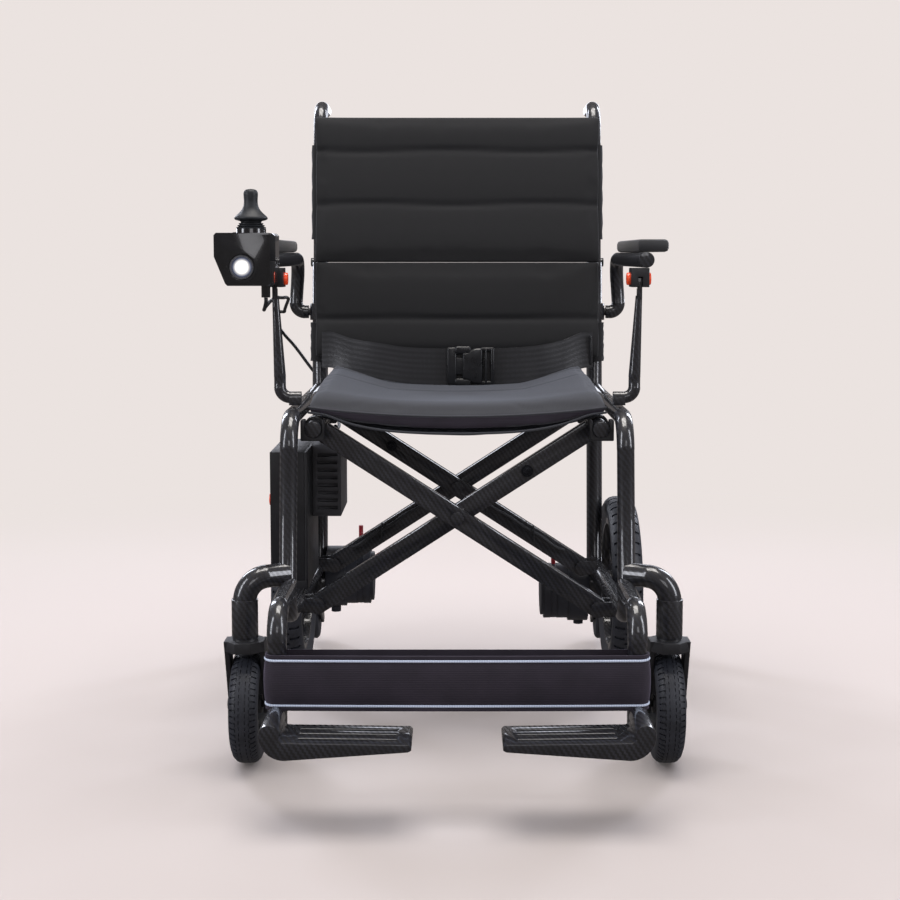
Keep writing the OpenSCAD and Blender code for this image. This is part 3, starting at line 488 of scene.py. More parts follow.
for hand, side in (("right", -1), ("left", 1)):
    # Caster: 153 mm across, a plain middle rib between broken grooves, and rows of shoulder blocks
    low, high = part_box(f"{hand}_caster_tyre")
    hub = (low + high) / 2
    half, out, seat = (high.x - low.x) / 2, (high.z - low.z) / 2, 0.048
    flank = [(half - 0.003, seat), (half, seat + 0.010), (half, out - 0.011), (half - 0.002, out - 0.006),
             (half - 0.006, out - 0.002), (0.0096, out - 0.0007), (0.0080, out - 0.0005),
             (0.0048, out - 0.0002), (0.0032, out)]
    tyre = turned(f"{hand}_caster_tread", [(-x, r) for x, r in flank] + flank[::-1], hub, 174)

    def caster_cuts(x, turn):
        """Broken grooves at two widths, and cuts across the shoulders 8 mm apart."""
        step = round(turn * 174 - 0.5)
        if 0.0032 < abs(x) < 0.0048 or 0.0080 < abs(x) < 0.0096:
            return step % 3 != (1 if abs(x) < 0.006 else 2)
        return abs(x) > 0.0080 and (step + (1 if x > 0 else 0)) % 3 == 0

    cut_tread(tyre, hub, out - 0.0052, 0.0020, caster_cuts)
    tyre.data.materials.append(rubber)
    bpy.ops.object.shade_smooth_by_angle(angle=math.radians(28))
    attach(tyre, body_of[f"{hand}_caster_tyre"])
    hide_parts(f"{hand}_caster_tyre")

    # Drive wheel: 280 mm across, with closer shoulder blocks
    low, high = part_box(f"{hand}_rear_tyre")
    hub = (low + high) / 2
    half, out, seat = (high.x - low.x) / 2, (high.z - low.z) / 2, 0.105
    section = [(-half + 0.004, seat), (-half, seat + 0.012), (-half, out - 0.012),
               (-half + 0.003, out - 0.0065), (-half + 0.008, out - 0.0022), (-half + 0.014, out - 0.0003),
               (-0.0045, out), (0.0045, out),
               (half - 0.014, out - 0.0003), (half - 0.008, out - 0.0022), (half - 0.003, out - 0.0065),
               (half, out - 0.012), (half, seat + 0.012), (half - 0.004, seat)]
    tyre = turned(f"{hand}_drive_tread", section, hub, 180)
    cut_tread(tyre, hub, out - 0.008, 0.003,
              lambda x, turn: round(turn * 180 - 0.5 + (2 if abs(x) < 0.0045 else 0)) % 4 == 0)
    tyre.data.materials.append(rubber)
    bpy.ops.object.shade_smooth_by_angle(angle=math.radians(28))
    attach(tyre, body_of[f"{hand}_rear_tyre"])
    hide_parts(f"{hand}_rear_tyre")

    carried_over(f"{hand}_antitip_wheel", rubber, 0.0015)


# Footplates: one-piece carbon elbows hung on the legs' pins, with ridges along their tops.
# Moulded like the frame and gloss coated; the grooves between the ridges keep a shoe from sliding off.
for hand in ("right", "left"):
    carried_over(f"{hand}_footplate", carbon, 0.0022)


# Calf strap: a padded band looped round both legs behind the shins.
# Knitted polyester over thin foam, dark purple-black, with pale piping sewn 6 mm in from both edges;
# it closes on itself at the back and slides up and down the legs.
strap_knit, tree, shader, place = surface("purple_black_polyester_knit", {
    "Roughness": 0.82, "Sheen Weight": 0.35, "Sheen Roughness": 0.4, "Sheen Tint": linear("8c84a6")})
# Knit ribs drawn 2.2 mm apart, coarser than the real 0.6 mm so that they show
rib = add(tree, "TexWave", {"Vector": place.outputs["Object"], "Scale": 145.0, "Distortion": 1.2,
                            "Detail": 2.0, "Detail Scale": 3.0}, bands_direction="Z")
shade = add(tree, "TexNoise", {"Vector": place.outputs["Object"], "Scale": 28.0, "Detail": 4.0})
tone = add(tree, "MixRGB", {"Fac": shade.outputs["Fac"], "Color1": linear("17131c"),
                            "Color2": linear("28222f")})
deep = add(tree, "MixRGB", {"Fac": 0.08, "Color1": tone.outputs["Color"], "Color2": rib.outputs["Color"]},
           blend_type="MULTIPLY")
tree.links.new(deep.outputs["Color"], shader.inputs["Base Color"])
relief = add(tree, "Bump", {"Height": rib.outputs["Fac"], "Strength": 0.3, "Distance": 0.0004})
tree.links.new(relief.outputs["Normal"], shader.inputs["Normal"])

piping, tree, shader, place = surface("pale_corded_piping", {"Roughness": 0.6})
# Twisted cover of the cord, one turn in 3 mm
twist = add(tree, "TexWave", {"Vector": place.outputs["Object"], "Scale": 105.0, "Distortion": 0.5},
            bands_direction="X")
tone = add(tree, "MixRGB", {"Fac": twist.outputs["Fac"], "Color1": linear("93a0b8"),
                            "Color2": linear("b0bbcc")})
tree.links.new(tone.outputs["Color"], shader.inputs["Base Color"])


def swept(name, section, stations, closed):
    """Carries a closed section of (out, up) points along stations of (centre, out, up)."""
    points = [c + out * s + up * t for c, out, up in stations for s, t in section]
    n, m = len(stations), len(section)
    faces = []
    for i in range(n if closed else n - 1):
        for k in range(m):
            a0, a1 = i * m + k, i * m + (k + 1) % m
            b0, b1 = (i + 1) % n * m + k, (i + 1) % n * m + (k + 1) % m
            faces.append((a0, a1, b1, b0))
    if not closed:
        faces += [tuple(range(m))[::-1], tuple(range((n - 1) * m, n * m))]
    mesh = bpy.data.meshes.new(name)
    mesh.from_pydata(points, [], faces)
    piece = bpy.data.objects.new(name, mesh)
    bpy.context.collection.objects.link(piece)
    pick_out(piece)
    bpy.ops.object.mode_set(mode="EDIT")
    bpy.ops.mesh.select_all(action="SELECT")
    bpy.ops.mesh.normals_make_consistent(inside=False)
    bpy.ops.object.mode_set(mode="OBJECT")
    bpy.ops.object.shade_smooth_by_angle(angle=math.radians(50))
    return piece


low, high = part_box("calf_strap")
leg_x, leg_y, loop_r = 0.218, (low.y + high.y) / 2, (high.y - low.y) / 2
round_legs = []
for k in range(49):
    x = -leg_x + 2 * leg_x * k / 48
    belly = 0.0025 * (1 - (x / leg_x) ** 2)
    round_legs.append((Vector((x, leg_y - loop_r - belly, 0)), Vector((0, -1, 0)), Vector((0, 0, 1))))
for k in range(1, 12):
    turn = -math.pi / 2 + math.pi * k / 12
    out = Vector((math.cos(turn), math.sin(turn), 0))
    round_legs.append((Vector((leg_x, leg_y, 0)) + out * loop_r, out, Vector((0, 0, 1))))
for k in range(49):
    x = leg_x - 2 * leg_x * k / 48
    round_legs.append((Vector((x, leg_y + loop_r, 0)), Vector((0, 1, 0)), Vector((0, 0, 1))))
for k in range(1, 12):
    turn = math.pi / 2 + math.pi * k / 12
    out = Vector((math.cos(turn), math.sin(turn), 0))
    round_legs.append((Vector((-leg_x, leg_y, 0)) + out * loop_r, out, Vector((0, 0, 1))))
b, t = low.z, high.z
band_section = [(-0.0018, b), (-0.0002, b + 0.0003), (0, b + 0.0015), (0, b + 0.0042), (-0.0006, b + 0.005),
                (-0.0006, b + 0.008), (0.0008, b + 0.012), (0.0018, b + 0.022), (0.0022, (b + t) / 2),
                (0.0018, t - 0.022), (0.0008, t - 0.012), (-0.0006, t - 0.008), (-0.0006, t - 0.005),
                (0, t - 0.0042), (0, t - 0.0015), (-0.0002, t - 0.0003), (-0.0018, t), (-0.0018, (b + t) / 2)]
band = swept("calf_strap_band", band_section, round_legs, True)
band.data.materials.append(strap_knit)
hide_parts("calf_strap")
cord_ring = [(0.0011 * math.cos(math.pi * k / 4), 0.0015 * math.sin(math.pi * k / 4)) for k in range(8)]
upper_cord = swept("calf_strap_upper_piping", [(s, z + t - 0.0065) for s, z in cord_ring], round_legs, True)
lower_cord = swept("calf_strap_lower_piping", [(s, z + b + 0.0065) for s, z in cord_ring], round_legs, True)
for piece, finish in ((band, None), (upper_cord, piping), (lower_cord, piping)):
    if finish:
        piece.data.materials.append(finish)
    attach(piece, "right_frame")
    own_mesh(piece)


# Seat: a sling between the two rails, and a loose quilted cushion on it.
# The cushion is black woven polyester over 25 mm foam, closed and boxed, sewn in from the front edge;
# the sling is doubled nylon, so both hang about 15 mm low in the middle.
seat_cloth, tree, shader, place = surface("charcoal_woven_polyester", {
    "Roughness": 0.85, "Sheen Weight": 0.22, "Sheen Roughness": 0.45, "Sheen Tint": linear("a9b2c4")})
# Plain weave drawn with threads 1.7 mm apart, where the real ones are 0.5 mm
warp = add(tree, "TexWave", {"Vector": place.outputs["Object"], "Scale": 185.0, "Distortion": 0.8,
                             "Detail": 1.0}, bands_direction="X")
weft = add(tree, "TexWave", {"Vector": place.outputs["Object"], "Scale": 185.0, "Distortion": 0.8,
                             "Detail": 1.0}, bands_direction="DIAGONAL")
weave = add(tree, "Math", {0: warp.outputs["Fac"], 1: weft.outputs["Fac"]}, operation="MULTIPLY")
shade = add(tree, "TexNoise", {"Vector": place.outputs["Object"], "Scale": 22.0, "Detail": 6.0})
tone = add(tree, "MixRGB", {"Fac": weave.outputs[0], "Color1": linear("1a1b1f"),
                           "Color2": linear("383b43")})
deep = add(tree, "MixRGB", {"Fac": shade.outputs["Fac"], "Color1": tone.outputs["Color"],
                            "Color2": linear("27292e")})
tree.links.new(deep.outputs["Color"], shader.inputs["Base Color"])
relief = add(tree, "Bump", {"Height": weave.outputs[0], "Strength": 0.35, "Distance": 0.0005})
tree.links.new(relief.outputs["Normal"], shader.inputs["Normal"])


def stuffed(name, low, high, lean, cap, voxel=0.005, pressure=4.0):
    """A closed pad blown up by cloth pressure from a block; lean tilts it back along Z."""
    bpy.ops.object.select_all(action="DESELECT")
    bpy.ops.mesh.primitive_cube_add(size=1.0, location=(low + high) / 2)
    pad = bpy.context.object
    pad.name = name
    pad.scale = high - low
    bpy.ops.object.transform_apply(location=True, rotation=True, scale=True)
    pad.data.remesh_voxel_size = voxel
    bpy.ops.object.voxel_remesh()
    start = np.empty(len(pad.data.vertices) * 3)
    pad.data.vertices.foreach_get("co", start)
    start = start.reshape(-1, 3)
    moved = start.copy()
    cloth = pad.modifiers.new("blown", "CLOTH")
    cloth.settings.quality = 5
    cloth.settings.use_pressure = True
    cloth.settings.uniform_pressure_force = pressure
    cloth.settings.effector_weights.gravity = 0.0
    cloth.point_cache.frame_start, cloth.point_cache.frame_end = 1, 20
    for k in range(1, 21):
        bpy.context.scene.frame_set(k)
    ready = pad.evaluated_get(bpy.context.evaluated_depsgraph_get()).data
    moved = np.empty(len(ready.vertices) * 3)
    ready.vertices.foreach_get("co", moved)
    moved = moved.reshape(-1, 3)
    pad.modifiers.remove(cloth)
    bpy.context.scene.frame_set(1)
    travel = moved - start
    far = np.linalg.norm(travel, axis=1, keepdims=True)
    moved = start + travel * np.minimum(1.0, cap / np.maximum(far, 1e-9))
    moved[:, 1] += (moved[:, 2] - low.z) * lean
    pad.data.vertices.foreach_set("co", moved.ravel())
    pad.data.update()
    return pad


def settle(pad, shape):
    """Moves every point of the pad as shape says, smooths it once and subdivides it."""
    points = np.empty(len(pad.data.vertices) * 3)
    pad.data.vertices.foreach_get("co", points)
    points = shape(points.reshape(-1, 3))
    pad.data.vertices.foreach_set("co", points.ravel())
    pad.data.update()
    pick_out(pad)
    finer = pad.modifiers.new("finer", "SUBSURF")
    finer.levels = finer.render_levels = 1
    bpy.ops.object.modifier_apply(modifier="finer")
    bpy.ops.object.shade_smooth()


low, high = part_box("seat_cushion")
half_wide = high.x


def seat_drop(x, y=0.2):
    """How far the seat hangs below its rails: 12 mm at the front, 15 mm at the back."""
    deep = 0.012 + 0.003 * np.clip((y + 0.13) / 0.25, 0, 1)
    return deep * np.clip(1 - (x / 0.2) ** 2, 0, 1)


cushion = stuffed("seat_pad", low + Vector((0.005, 0.006, 0.003)), high - Vector((0.005, 0.006, 0.006)),
                  0.0, 0.007)
front = low.y


def cushion_shape(p):
    x, y, z = p.T
    upper = np.clip((z - (low.z + 0.010)) / 0.012, 0, 1)
    # Sewn lines across the back half and near the side edges
    for line in (0.085, 0.195):
        z = z - upper * 0.0030 * np.exp(-((y - line) / 0.0030) ** 2)
    z = z - upper * 0.0016 * np.exp(-((np.abs(x) - (half_wide - 0.022)) / 0.0028) ** 2)
    # The front edge rolls over, and a boxed band hangs in front of the sling
    roll = np.clip(1 - (y - front) / 0.055, 0, 1) ** 2
    z = z - upper * 0.018 * roll
    z = np.maximum(z, low.z + 0.0003)
    under = np.clip((low.z + 0.013 - z) / 0.010, 0, 1)
    z = z - under * 0.019 * np.clip(1 - (y - front) / 0.032, 0, 1) * np.clip(1 - (x / 0.176) ** 4, 0, 1)
    # The sides ride up on the frame towards the back, and the middle sinks
    z = z + upper * 0.016 * np.clip((np.abs(x) - 0.10) / 0.09, 0, 1) * np.clip((y - front) / 0.2, 0, 1)
    z = z - seat_drop(x, y)
    y = y - 0.003 * (1 - (x / half_wide) ** 2) * np.clip(1 - (y - front) / 0.1, 0, 1)
    return np.stack([x, y, z], 1)


settle(cushion, cushion_shape)
cushion.data.materials.append(seat_cloth)
cushion.data.materials.append(strap_knit)
for f in cushion.data.polygons:
    f.material_index = int(f.center.y < front + 0.012 and f.normal.y < -0.55)
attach(cushion, "seat")
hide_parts("seat_cushion")
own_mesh(cushion)
skin = np.array([v.co for v in cushion.data.vertices])
for name, inset_z, inset_y in (("seat_front_welt", 0.0105, 0.0006), ("seat_lower_welt", 0.0035, 0.0006)):
    # A corded welt along the front seams
    stations = []
    for k in range(41):
        x = (half_wide - 0.008) * (2 * k / 40 - 1)
        hang = 0.0 if name == "seat_front_welt" else 0.016 * float(np.clip(1 - (x / 0.176) ** 4, 0, 1))
        z = low.z + inset_z - float(seat_drop(np.array(x), front)) - hang
        y = front + inset_y - 0.0015 * (1 - (x / half_wide) ** 2) + 0.006 * (abs(x) / half_wide) ** 8
        if name == "seat_lower_welt":
            near = skin[(np.abs(skin[:, 0] - x) < 0.006) & (skin[:, 1] < front + 0.010)]
            y, z = near[near[:, 2].argmin()][1:] if len(near) else (y, z)
        stations.append((Vector((x, y, z)), Vector((0, -1, 0)), Vector((0, 0, 1))))
    bead = [(0.0016 * math.cos(math.pi * k / 4), 0.0016 * math.sin(math.pi * k / 4)) for k in range(8)]
    welt = swept(name, bead, stations, False)
    welt.data.materials.append(seat_cloth)
    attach(welt, "seat")
    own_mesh(welt)

low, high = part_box("seat_sling")
bpy.ops.object.select_all(action="DESELECT")
bpy.ops.mesh.primitive_grid_add(x_subdivisions=48, y_subdivisions=40, size=1.0)
sling = bpy.context.object
sling.name = "seat_sling_cloth"
for v in sling.data.vertices:
    x = low.x + (v.co.x + 0.5) * (high.x - low.x)
    y = low.y + 0.028 + (v.co.y + 0.5) * (high.y - low.y - 0.028)
    hem = 0.016 * max(0.0, 1 - (y - low.y - 0.028) / 0.09) * (1 - (x / 0.2) ** 2)
    ripple = 0.0004 * math.sin(90 * x) * math.sin(70 * y)
    v.co = (x, y, low.z + 0.0008 - hem - float(seat_drop(np.array(x), y)) + ripple)
wall = sling.modifiers.new("cloth_thickness", "SOLIDIFY")
wall.thickness = 0.0012
wall.offset = 0
bpy.ops.object.modifier_apply(modifier="cloth_thickness")
bpy.ops.object.shade_smooth()
sling.data.materials.append(seat_cloth)
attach(sling, "seat")
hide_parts("seat_sling")
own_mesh(sling)


# Lap belt: two lengths of flat webbing from the back corners of the seat, joined by a side-release buckle.
# Woven polyester, 50 mm wide and 2 mm thick, lying slack across the cushion; acetal buckle.
webbing, tree, shader, place = surface("black_polyester_webbing", {
    "Roughness": 0.36, "Sheen Weight": 0.25, "Sheen Roughness": 0.35})
# Lengthwise ribs 4 mm apart and picks 2 mm apart
rib = add(tree, "TexWave", {"Vector": place.outputs["UV"], "Scale": 39.0, "Distortion": 0.2},
          bands_direction="Y")
pick = add(tree, "TexWave", {"Vector": place.outputs["UV"], "Scale": 157.0, "Distortion": 0.6},
           bands_direction="X")
both = add(tree, "Math", {0: rib.outputs["Fac"], 1: pick.outputs["Fac"]}, operation="MULTIPLY")
tone = add(tree, "MixRGB", {"Fac": both.outputs[0], "Color1": linear("17181b"), "Color2": linear("25262a")})
tree.links.new(tone.outputs["Color"], shader.inputs["Base Color"])
relief = add(tree, "Bump", {"Height": both.outputs[0], "Strength": 0.18, "Distance": 0.0004})
tree.links.new(relief.outputs["Normal"], shader.inputs["Normal"])

acetal, tree, shader, place = surface("moulded_black_acetal", {"IOR": 1.48})
# Slight sink and flow marks, 8 mm across
flow = add(tree, "TexNoise", {"Vector": place.outputs["Object"], "Scale": 120.0, "Detail": 3.0})
tone = add(tree, "MixRGB", {"Fac": flow.outputs["Fac"], "Color1": linear("0f1012"),
                           "Color2": linear("1c1d20")})
tree.links.new(tone.outputs["Color"], shader.inputs["Base Color"])
gloss = add(tree, "MapRange", {"Value": flow.outputs["Fac"], "To Min": 0.22, "To Max": 0.36})
tree.links.new(gloss.outputs["Result"], shader.inputs["Roughness"])


def eased_line(knots, count):
    """Points along a smooth line through the knots."""
    knots = [Vector(k) for k in knots]
    knots = [2 * knots[0] - knots[1], *knots, 2 * knots[-1] - knots[-2]]
    spans = len(knots) - 3
    made = []
    for i in range(count + 1):
        at = min(i * spans / count, spans - 1e-9)
        k = int(at)
        t = at - k
        a, b, c, d = knots[k:k + 4]
        made.append(0.5 * (2 * b + (c - a) * t + (2 * a - 5 * b + 4 * c - d) * t ** 2
                           + (3 * b - a - 3 * c + d) * t ** 3))
    return made


def webbed(name, knots, width, thick, count=60):
    """A flat strap along knots of (centre, across), with its length and width as UV in metres."""
    middles = eased_line([k[0] for k in knots], count)
    sides = eased_line([k[1] for k in knots], count)
    points, lengths = [], [0.0]
    for i, (c, s) in enumerate(zip(middles, sides)):
        if i:
            lengths.append(lengths[-1] + (c - middles[i - 1]).length)
        points += [c + s.normalized() * width * (k / 8 - 0.5) for k in range(9)]
    faces = [(i * 9 + k, i * 9 + k + 1, i * 9 + k + 10, i * 9 + k + 9)
             for i in range(count) for k in range(8)]
    mesh = bpy.data.meshes.new(name)
    mesh.from_pydata(points, [], faces)
    laid = mesh.uv_layers.new(name="UVMap")
    for loop in mesh.loops:
        i, k = divmod(loop.vertex_index, 9)
        laid.data[loop.index].uv = (lengths[i], width * k / 8)
    strap = bpy.data.objects.new(name, mesh)
    bpy.context.collection.objects.link(strap)
    pick_out(strap)
    wall = strap.modifiers.new("strap_thickness", "SOLIDIFY")
    wall.thickness = thick
    wall.offset = 0
    bpy.ops.object.modifier_apply(modifier="strap_thickness")
    bpy.ops.object.shade_smooth_by_angle(angle=math.radians(60))
    return strap


low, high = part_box("lap_belt")
seat_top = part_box("seat_cushion")[1].z
middle_y = low.y + 0.0012


def on_seat(x):
    """Height of the middle of the belt, which stands on the sagging cushion."""
    return seat_top + 0.0280 - float(seat_drop(np.array(x)))


left_run = [
    ((0.2145, 0.2290, seat_top + 0.0390), (0, 0.10, 1)), ((0.196, 0.2245, seat_top + 0.0375), (0, 0.12, 1)),
    ((0.165, 0.2130, on_seat(0.165) + 0.003), (0, 0.16, 1)), ((0.125, 0.2020, on_seat(0.125)), (0, 0.12, 1)),
    ((0.085, middle_y, on_seat(0.085)), (0, 0.06, 1)),
    ((0.030, middle_y - 0.0005, on_seat(0.030)), (0, 0.04, 1))]
right_run = [
    ((-0.2145, 0.2290, seat_top + 0.0390), (0, 0.10, 1)), ((-0.196, 0.2245, seat_top + 0.0385), (0, 0.14, 1)),
    ((-0.165, 0.2140, on_seat(0.165) + 0.006), (0, 0.22, 1)),
    ((-0.120, 0.2035, on_seat(0.120) + 0.004), (0, 0.16, 1)),
    ((-0.070, middle_y, on_seat(0.070) + 0.001), (0, 0.08, 1)),
    ((0.0295, middle_y - 0.0005, on_seat(0.030)), (0, 0.04, 1))]
for name, run in (("lap_belt_left", left_run), ("lap_belt_right", right_run)):
    belt = webbed(name, run, 0.057, 0.002)
    belt.data.materials.append(webbing)
    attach(belt, "seat")
    if name == "lap_belt_left":
        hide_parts("lap_belt")
    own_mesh(belt)

low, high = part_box("belt_buckle")
face_y = high.y


def moulded(name, low, high, edge, finish):
    """A block moulded with rounded edges."""
    bpy.ops.object.select_all(action="DESELECT")
    low, high = Vector(low), Vector(high)
    bpy.ops.mesh.primitive_cube_add(size=1.0, location=(low + high) / 2)
    block = bpy.context.object
    block.name = name
    block.scale = high - low
    bpy.ops.object.transform_apply(location=True, rotation=True, scale=True)
    bpy.ops.object.mode_set(mode="EDIT")
    bpy.ops.mesh.select_all(action="SELECT")
    bpy.ops.mesh.bevel(offset=edge, segments=3, affect="EDGES", clamp_overlap=True)
    bpy.ops.object.mode_set(mode="OBJECT")
    bpy.ops.object.shade_smooth_by_angle(angle=math.radians(40))
    block.data.materials.append(finish)
    return block


# The socket half with waisted sides, the prong half with its two arms showing, and the bars for the webbing
x0, x1, y = low.x + 0.004, high.x - 0.004, face_y
z0 = on_seat(0.02) - 0.0290
z1 = z0 + 0.0630
link_x, front_y = (x1 - 0.022, x1 - 0.002), (y - 0.0105, y - 0.001)
blocks = (
    ("buckle_socket", (x0 + 0.024, x0 + 0.056), (y - 0.0125, y - 0.0005), (z0 + 0.003, z1 - 0.003), 0.0045),
    ("buckle_upper_prong", (x0 + 0.012, x0 + 0.038), (y - 0.0115, y - 0.0020), (z1 - 0.013, z1), 0.0038),
    ("buckle_lower_prong", (x0 + 0.012, x0 + 0.038), (y - 0.0115, y - 0.0020), (z0, z0 + 0.013), 0.0038),
    ("buckle_yoke", (x0, x0 + 0.015), (y - 0.0105, y - 0.0010), (z0 + 0.002, z1 - 0.002), 0.0030),
    ("buckle_tongue", (x0 + 0.012, x0 + 0.028), (y - 0.0095, y - 0.0030), (z0 + 0.018, z1 - 0.018), 0.0022),
    ("buckle_ladder_bar", (x1 - 0.006, x1), (y - 0.0115, y - 0.0010), (z0 + 0.002, z1 - 0.002), 0.0026),
    ("buckle_ladder_rung", (x1 - 0.015, x1 - 0.0115), (y - 0.0125, y - 0.006),
     (z0 + 0.004, z1 - 0.004), 0.0012),
    ("buckle_upper_link", link_x, front_y, (z1 - 0.0085, z1 - 0.002), 0.0022),
    ("buckle_lower_link", link_x, front_y, (z0 + 0.002, z0 + 0.0085), 0.0022),
    ("belt_end_clip", (0.2105, 0.2135), (0.2225, 0.2355), (seat_top + 0.015, seat_top + 0.061), 0.0012),
)
parts = [moulded(name, *zip(xs, ys, zs), edge, acetal) for name, xs, ys, zs, edge in blocks]
socket = parts[0]
# The socket's sides are drawn in at the middle, where the fingers squeeze
mid_x, mid_z = x0 + 0.030, (z0 + z1) / 2
pick_out(socket)
bpy.ops.object.mode_set(mode="EDIT")
bpy.ops.mesh.select_all(action="SELECT")
bpy.ops.mesh.subdivide(number_cuts=3)
bpy.ops.object.mode_set(mode="OBJECT")
for v in socket.data.vertices:
    squeeze = 0.0075 * math.exp(-((v.co.x - mid_x) / 0.0085) ** 2)
    if abs(v.co.z - mid_z) > 0.012:
        v.co.z -= math.copysign(squeeze, v.co.z - mid_z)
for piece in parts:
    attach(piece, "seat")
    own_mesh(piece)
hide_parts("belt_buckle")


# Back: two padded panels sewn across in channels, with sleeves at their sides that slip over the posts.
# Black woven polyester over 20 mm foam; the split between the panels lies along the fold of the posts.
back_cloth, tree, shader, place = surface("black_woven_back_polyester", {
    "Roughness": 0.88, "Sheen Weight": 0.12, "Sheen Roughness": 0.5, "Sheen Tint": linear("9aa0ae")})
# Plain weave drawn with threads 1.7 mm apart, where the real ones are 0.5 mm
warp = add(tree, "TexWave", {"Vector": place.outputs["Object"], "Scale": 185.0, "Distortion": 0.8},
           bands_direction="X")
weft = add(tree, "TexWave", {"Vector": place.outputs["Object"], "Scale": 185.0, "Distortion": 0.8},
           bands_direction="Z")
weave = add(tree, "Math", {0: warp.outputs["Fac"], 1: weft.outputs["Fac"]}, operation="MULTIPLY")
shade = add(tree, "TexNoise", {"Vector": place.outputs["Object"], "Scale": 14.0, "Detail": 6.0})
tone = add(tree, "MixRGB", {"Fac": weave.outputs[0], "Color1": linear("0c0c0e"),
                           "Color2": linear("1b1c1f")})
deep = add(tree, "MixRGB", {"Fac": shade.outputs["Fac"], "Color1": tone.outputs["Color"],
                            "Color2": linear("101113")})
tree.links.new(deep.outputs["Color"], shader.inputs["Base Color"])
relief = add(tree, "Bump", {"Height": weave.outputs[0], "Strength": 0.35, "Distance": 0.0005})
tree.links.new(relief.outputs["Normal"], shader.inputs["Normal"])

LEAN = math.tan(math.radians(5.5))
channels = (0.568, 0.750, 0.835)
for name, node, body in (("back_panel_upper", "back_pad_upper", "right_back"),
                         ("back_panel_lower", "back_pad_lower", "right_frame")):
    low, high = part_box(node)
    thick = (high.y - low.y) - (high.z - low.z) * LEAN
    start = Vector((low.x + 0.005, low.y + 0.005, low.z + (0.0 if "upper" in name else 0.006)))
    end = Vector((high.x - 0.005, low.y + thick - 0.004, high.z - (0.0 if "lower" in name else 0.006)))
    panel = stuffed(name, start, end, LEAN, 0.0045)
    face_y, rear_y = low.y, low.y + thick

    split = 0.657
    lip = (-0.0008, -0.0002) if "upper" in name else (0.0002, 0.0008)

    def panel_shape(p, low=low, high=high, face_y=face_y, rear_y=rear_y, lip=lip):
        x, y, z = p.T
        tilt = (z - low.z) * LEAN
        flat = y - tilt
        front = np.clip((face_y + thick * 0.55 - flat) / (thick * 0.3), 0, 1)
        bounds = sorted([low.z, *[c for c in channels if low.z < c < high.z], high.z])
        swell = np.zeros_like(z)
        for a, b in zip(bounds, bounds[1:]):
            part = (z >= a) & (z < b)
            swell[part] = np.sin(np.pi * (z[part] - a) / (b - a)) ** 0.5
        flat = flat + front * (0.0025 - 0.0035 * swell)
        for c in bounds[1:-1]:
            wander = c + 0.0012 * np.sin(x * 23.0 + c * 40)
            flat = flat + front * 0.0042 * np.exp(-((z - wander) / 0.0026) ** 2)
        # Sides drawn in between the channels, and a soft hollow where a back leans
        x = x * (1 - 0.006 * (1 - swell))
        flat = np.clip(flat, face_y - 0.002, rear_y - 0.0002)
        # The two panels press on each other at the split, so their facing edges are square
        z = z + 0.007 * np.sign(split - z) * np.clip((0.016 - np.abs(split - z)) / 0.009, 0, 1)
        return np.stack([x, flat + tilt, np.clip(z, low.z + lip[0], high.z + lip[1])], 1)

    settle(panel, panel_shape)
    panel.data.materials.append(back_cloth)
    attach(panel, body)
    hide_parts(node)
    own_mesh(panel)


def post_y(z):
    return 0.243 + (z - 0.140) * LEAN


for side, hand in ((-1, "right"), (1, "left")):
    for name, z0, z1, radius, body in (("upper_sleeve", 0.694, 0.846, 0.0135, f"{hand}_back"),
                                       ("lower_sleeve", 0.498, 0.560, 0.0150, f"{hand}_frame")):
        # A sleeve is a sewn tube of the same cloth, a little slack round the post
        stations = []
        for k in range(13):
            z = z0 + (z1 - z0) * k / 12
            c = Vector((side * 0.222, post_y(z), z))
            stations.append((c, Vector((1, 0, 0)), Vector((0, 1, 0))))
        ring = [(radius * math.cos(math.pi * k / 12) * (1.0 + 0.04 * math.sin(5 * k)),
                 radius * math.sin(math.pi * k / 12)) for k in range(24)]
        sleeve = swept(f"{hand}_{name}", ring, stations, False)
        for v in sleeve.data.vertices:
            c = Vector((side * 0.222, post_y(v.co.z), v.co.z))
            turn = math.atan2(v.co.y - c.y, v.co.x - c.x)
            v.co.x = c.x + (v.co.x - c.x) * (1 + 0.05 * math.sin(v.co.z * 320 + 9 * turn))
        bpy.ops.object.mode_set(mode="EDIT")
        bpy.ops.mesh.select_all(action="SELECT")
        bpy.ops.mesh.normals_make_consistent(inside=False)
        bpy.ops.object.mode_set(mode="OBJECT")
        sleeve.data.materials.append(back_cloth)
        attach(sleeve, body)


# Arms: soft pads on the tubes, latch blocks that hold the arm down, and their orange release buttons.
# The pads are skinned urethane foam, the latches are nylon, and the buttons are glossy orange ABS.
urethane, tree, shader, place = surface("skinned_urethane_foam", {"Roughness": 0.58, "Sheen Weight": 0.1})
# Moulded leather grain, 1.8 mm across
pebble = add(tree, "TexVoronoi", {"Vector": place.outputs["Object"], "Scale": 550.0},
             feature="DISTANCE_TO_EDGE")
shade = add(tree, "TexNoise", {"Vector": place.outputs["Object"], "Scale": 35.0, "Detail": 3.0})
tone = add(tree, "MixRGB", {"Fac": shade.outputs["Fac"], "Color1": linear("131416"),
                           "Color2": linear("232529")})
tree.links.new(tone.outputs["Color"], shader.inputs["Base Color"])
relief = add(tree, "Bump", {"Height": pebble.outputs["Distance"], "Strength": 0.3, "Distance": 0.0003})
tree.links.new(relief.outputs["Normal"], shader.inputs["Normal"])

orange_abs, tree, shader, place = surface("gloss_orange_abs", {"IOR": 1.54, "Coat Weight": 0.4})
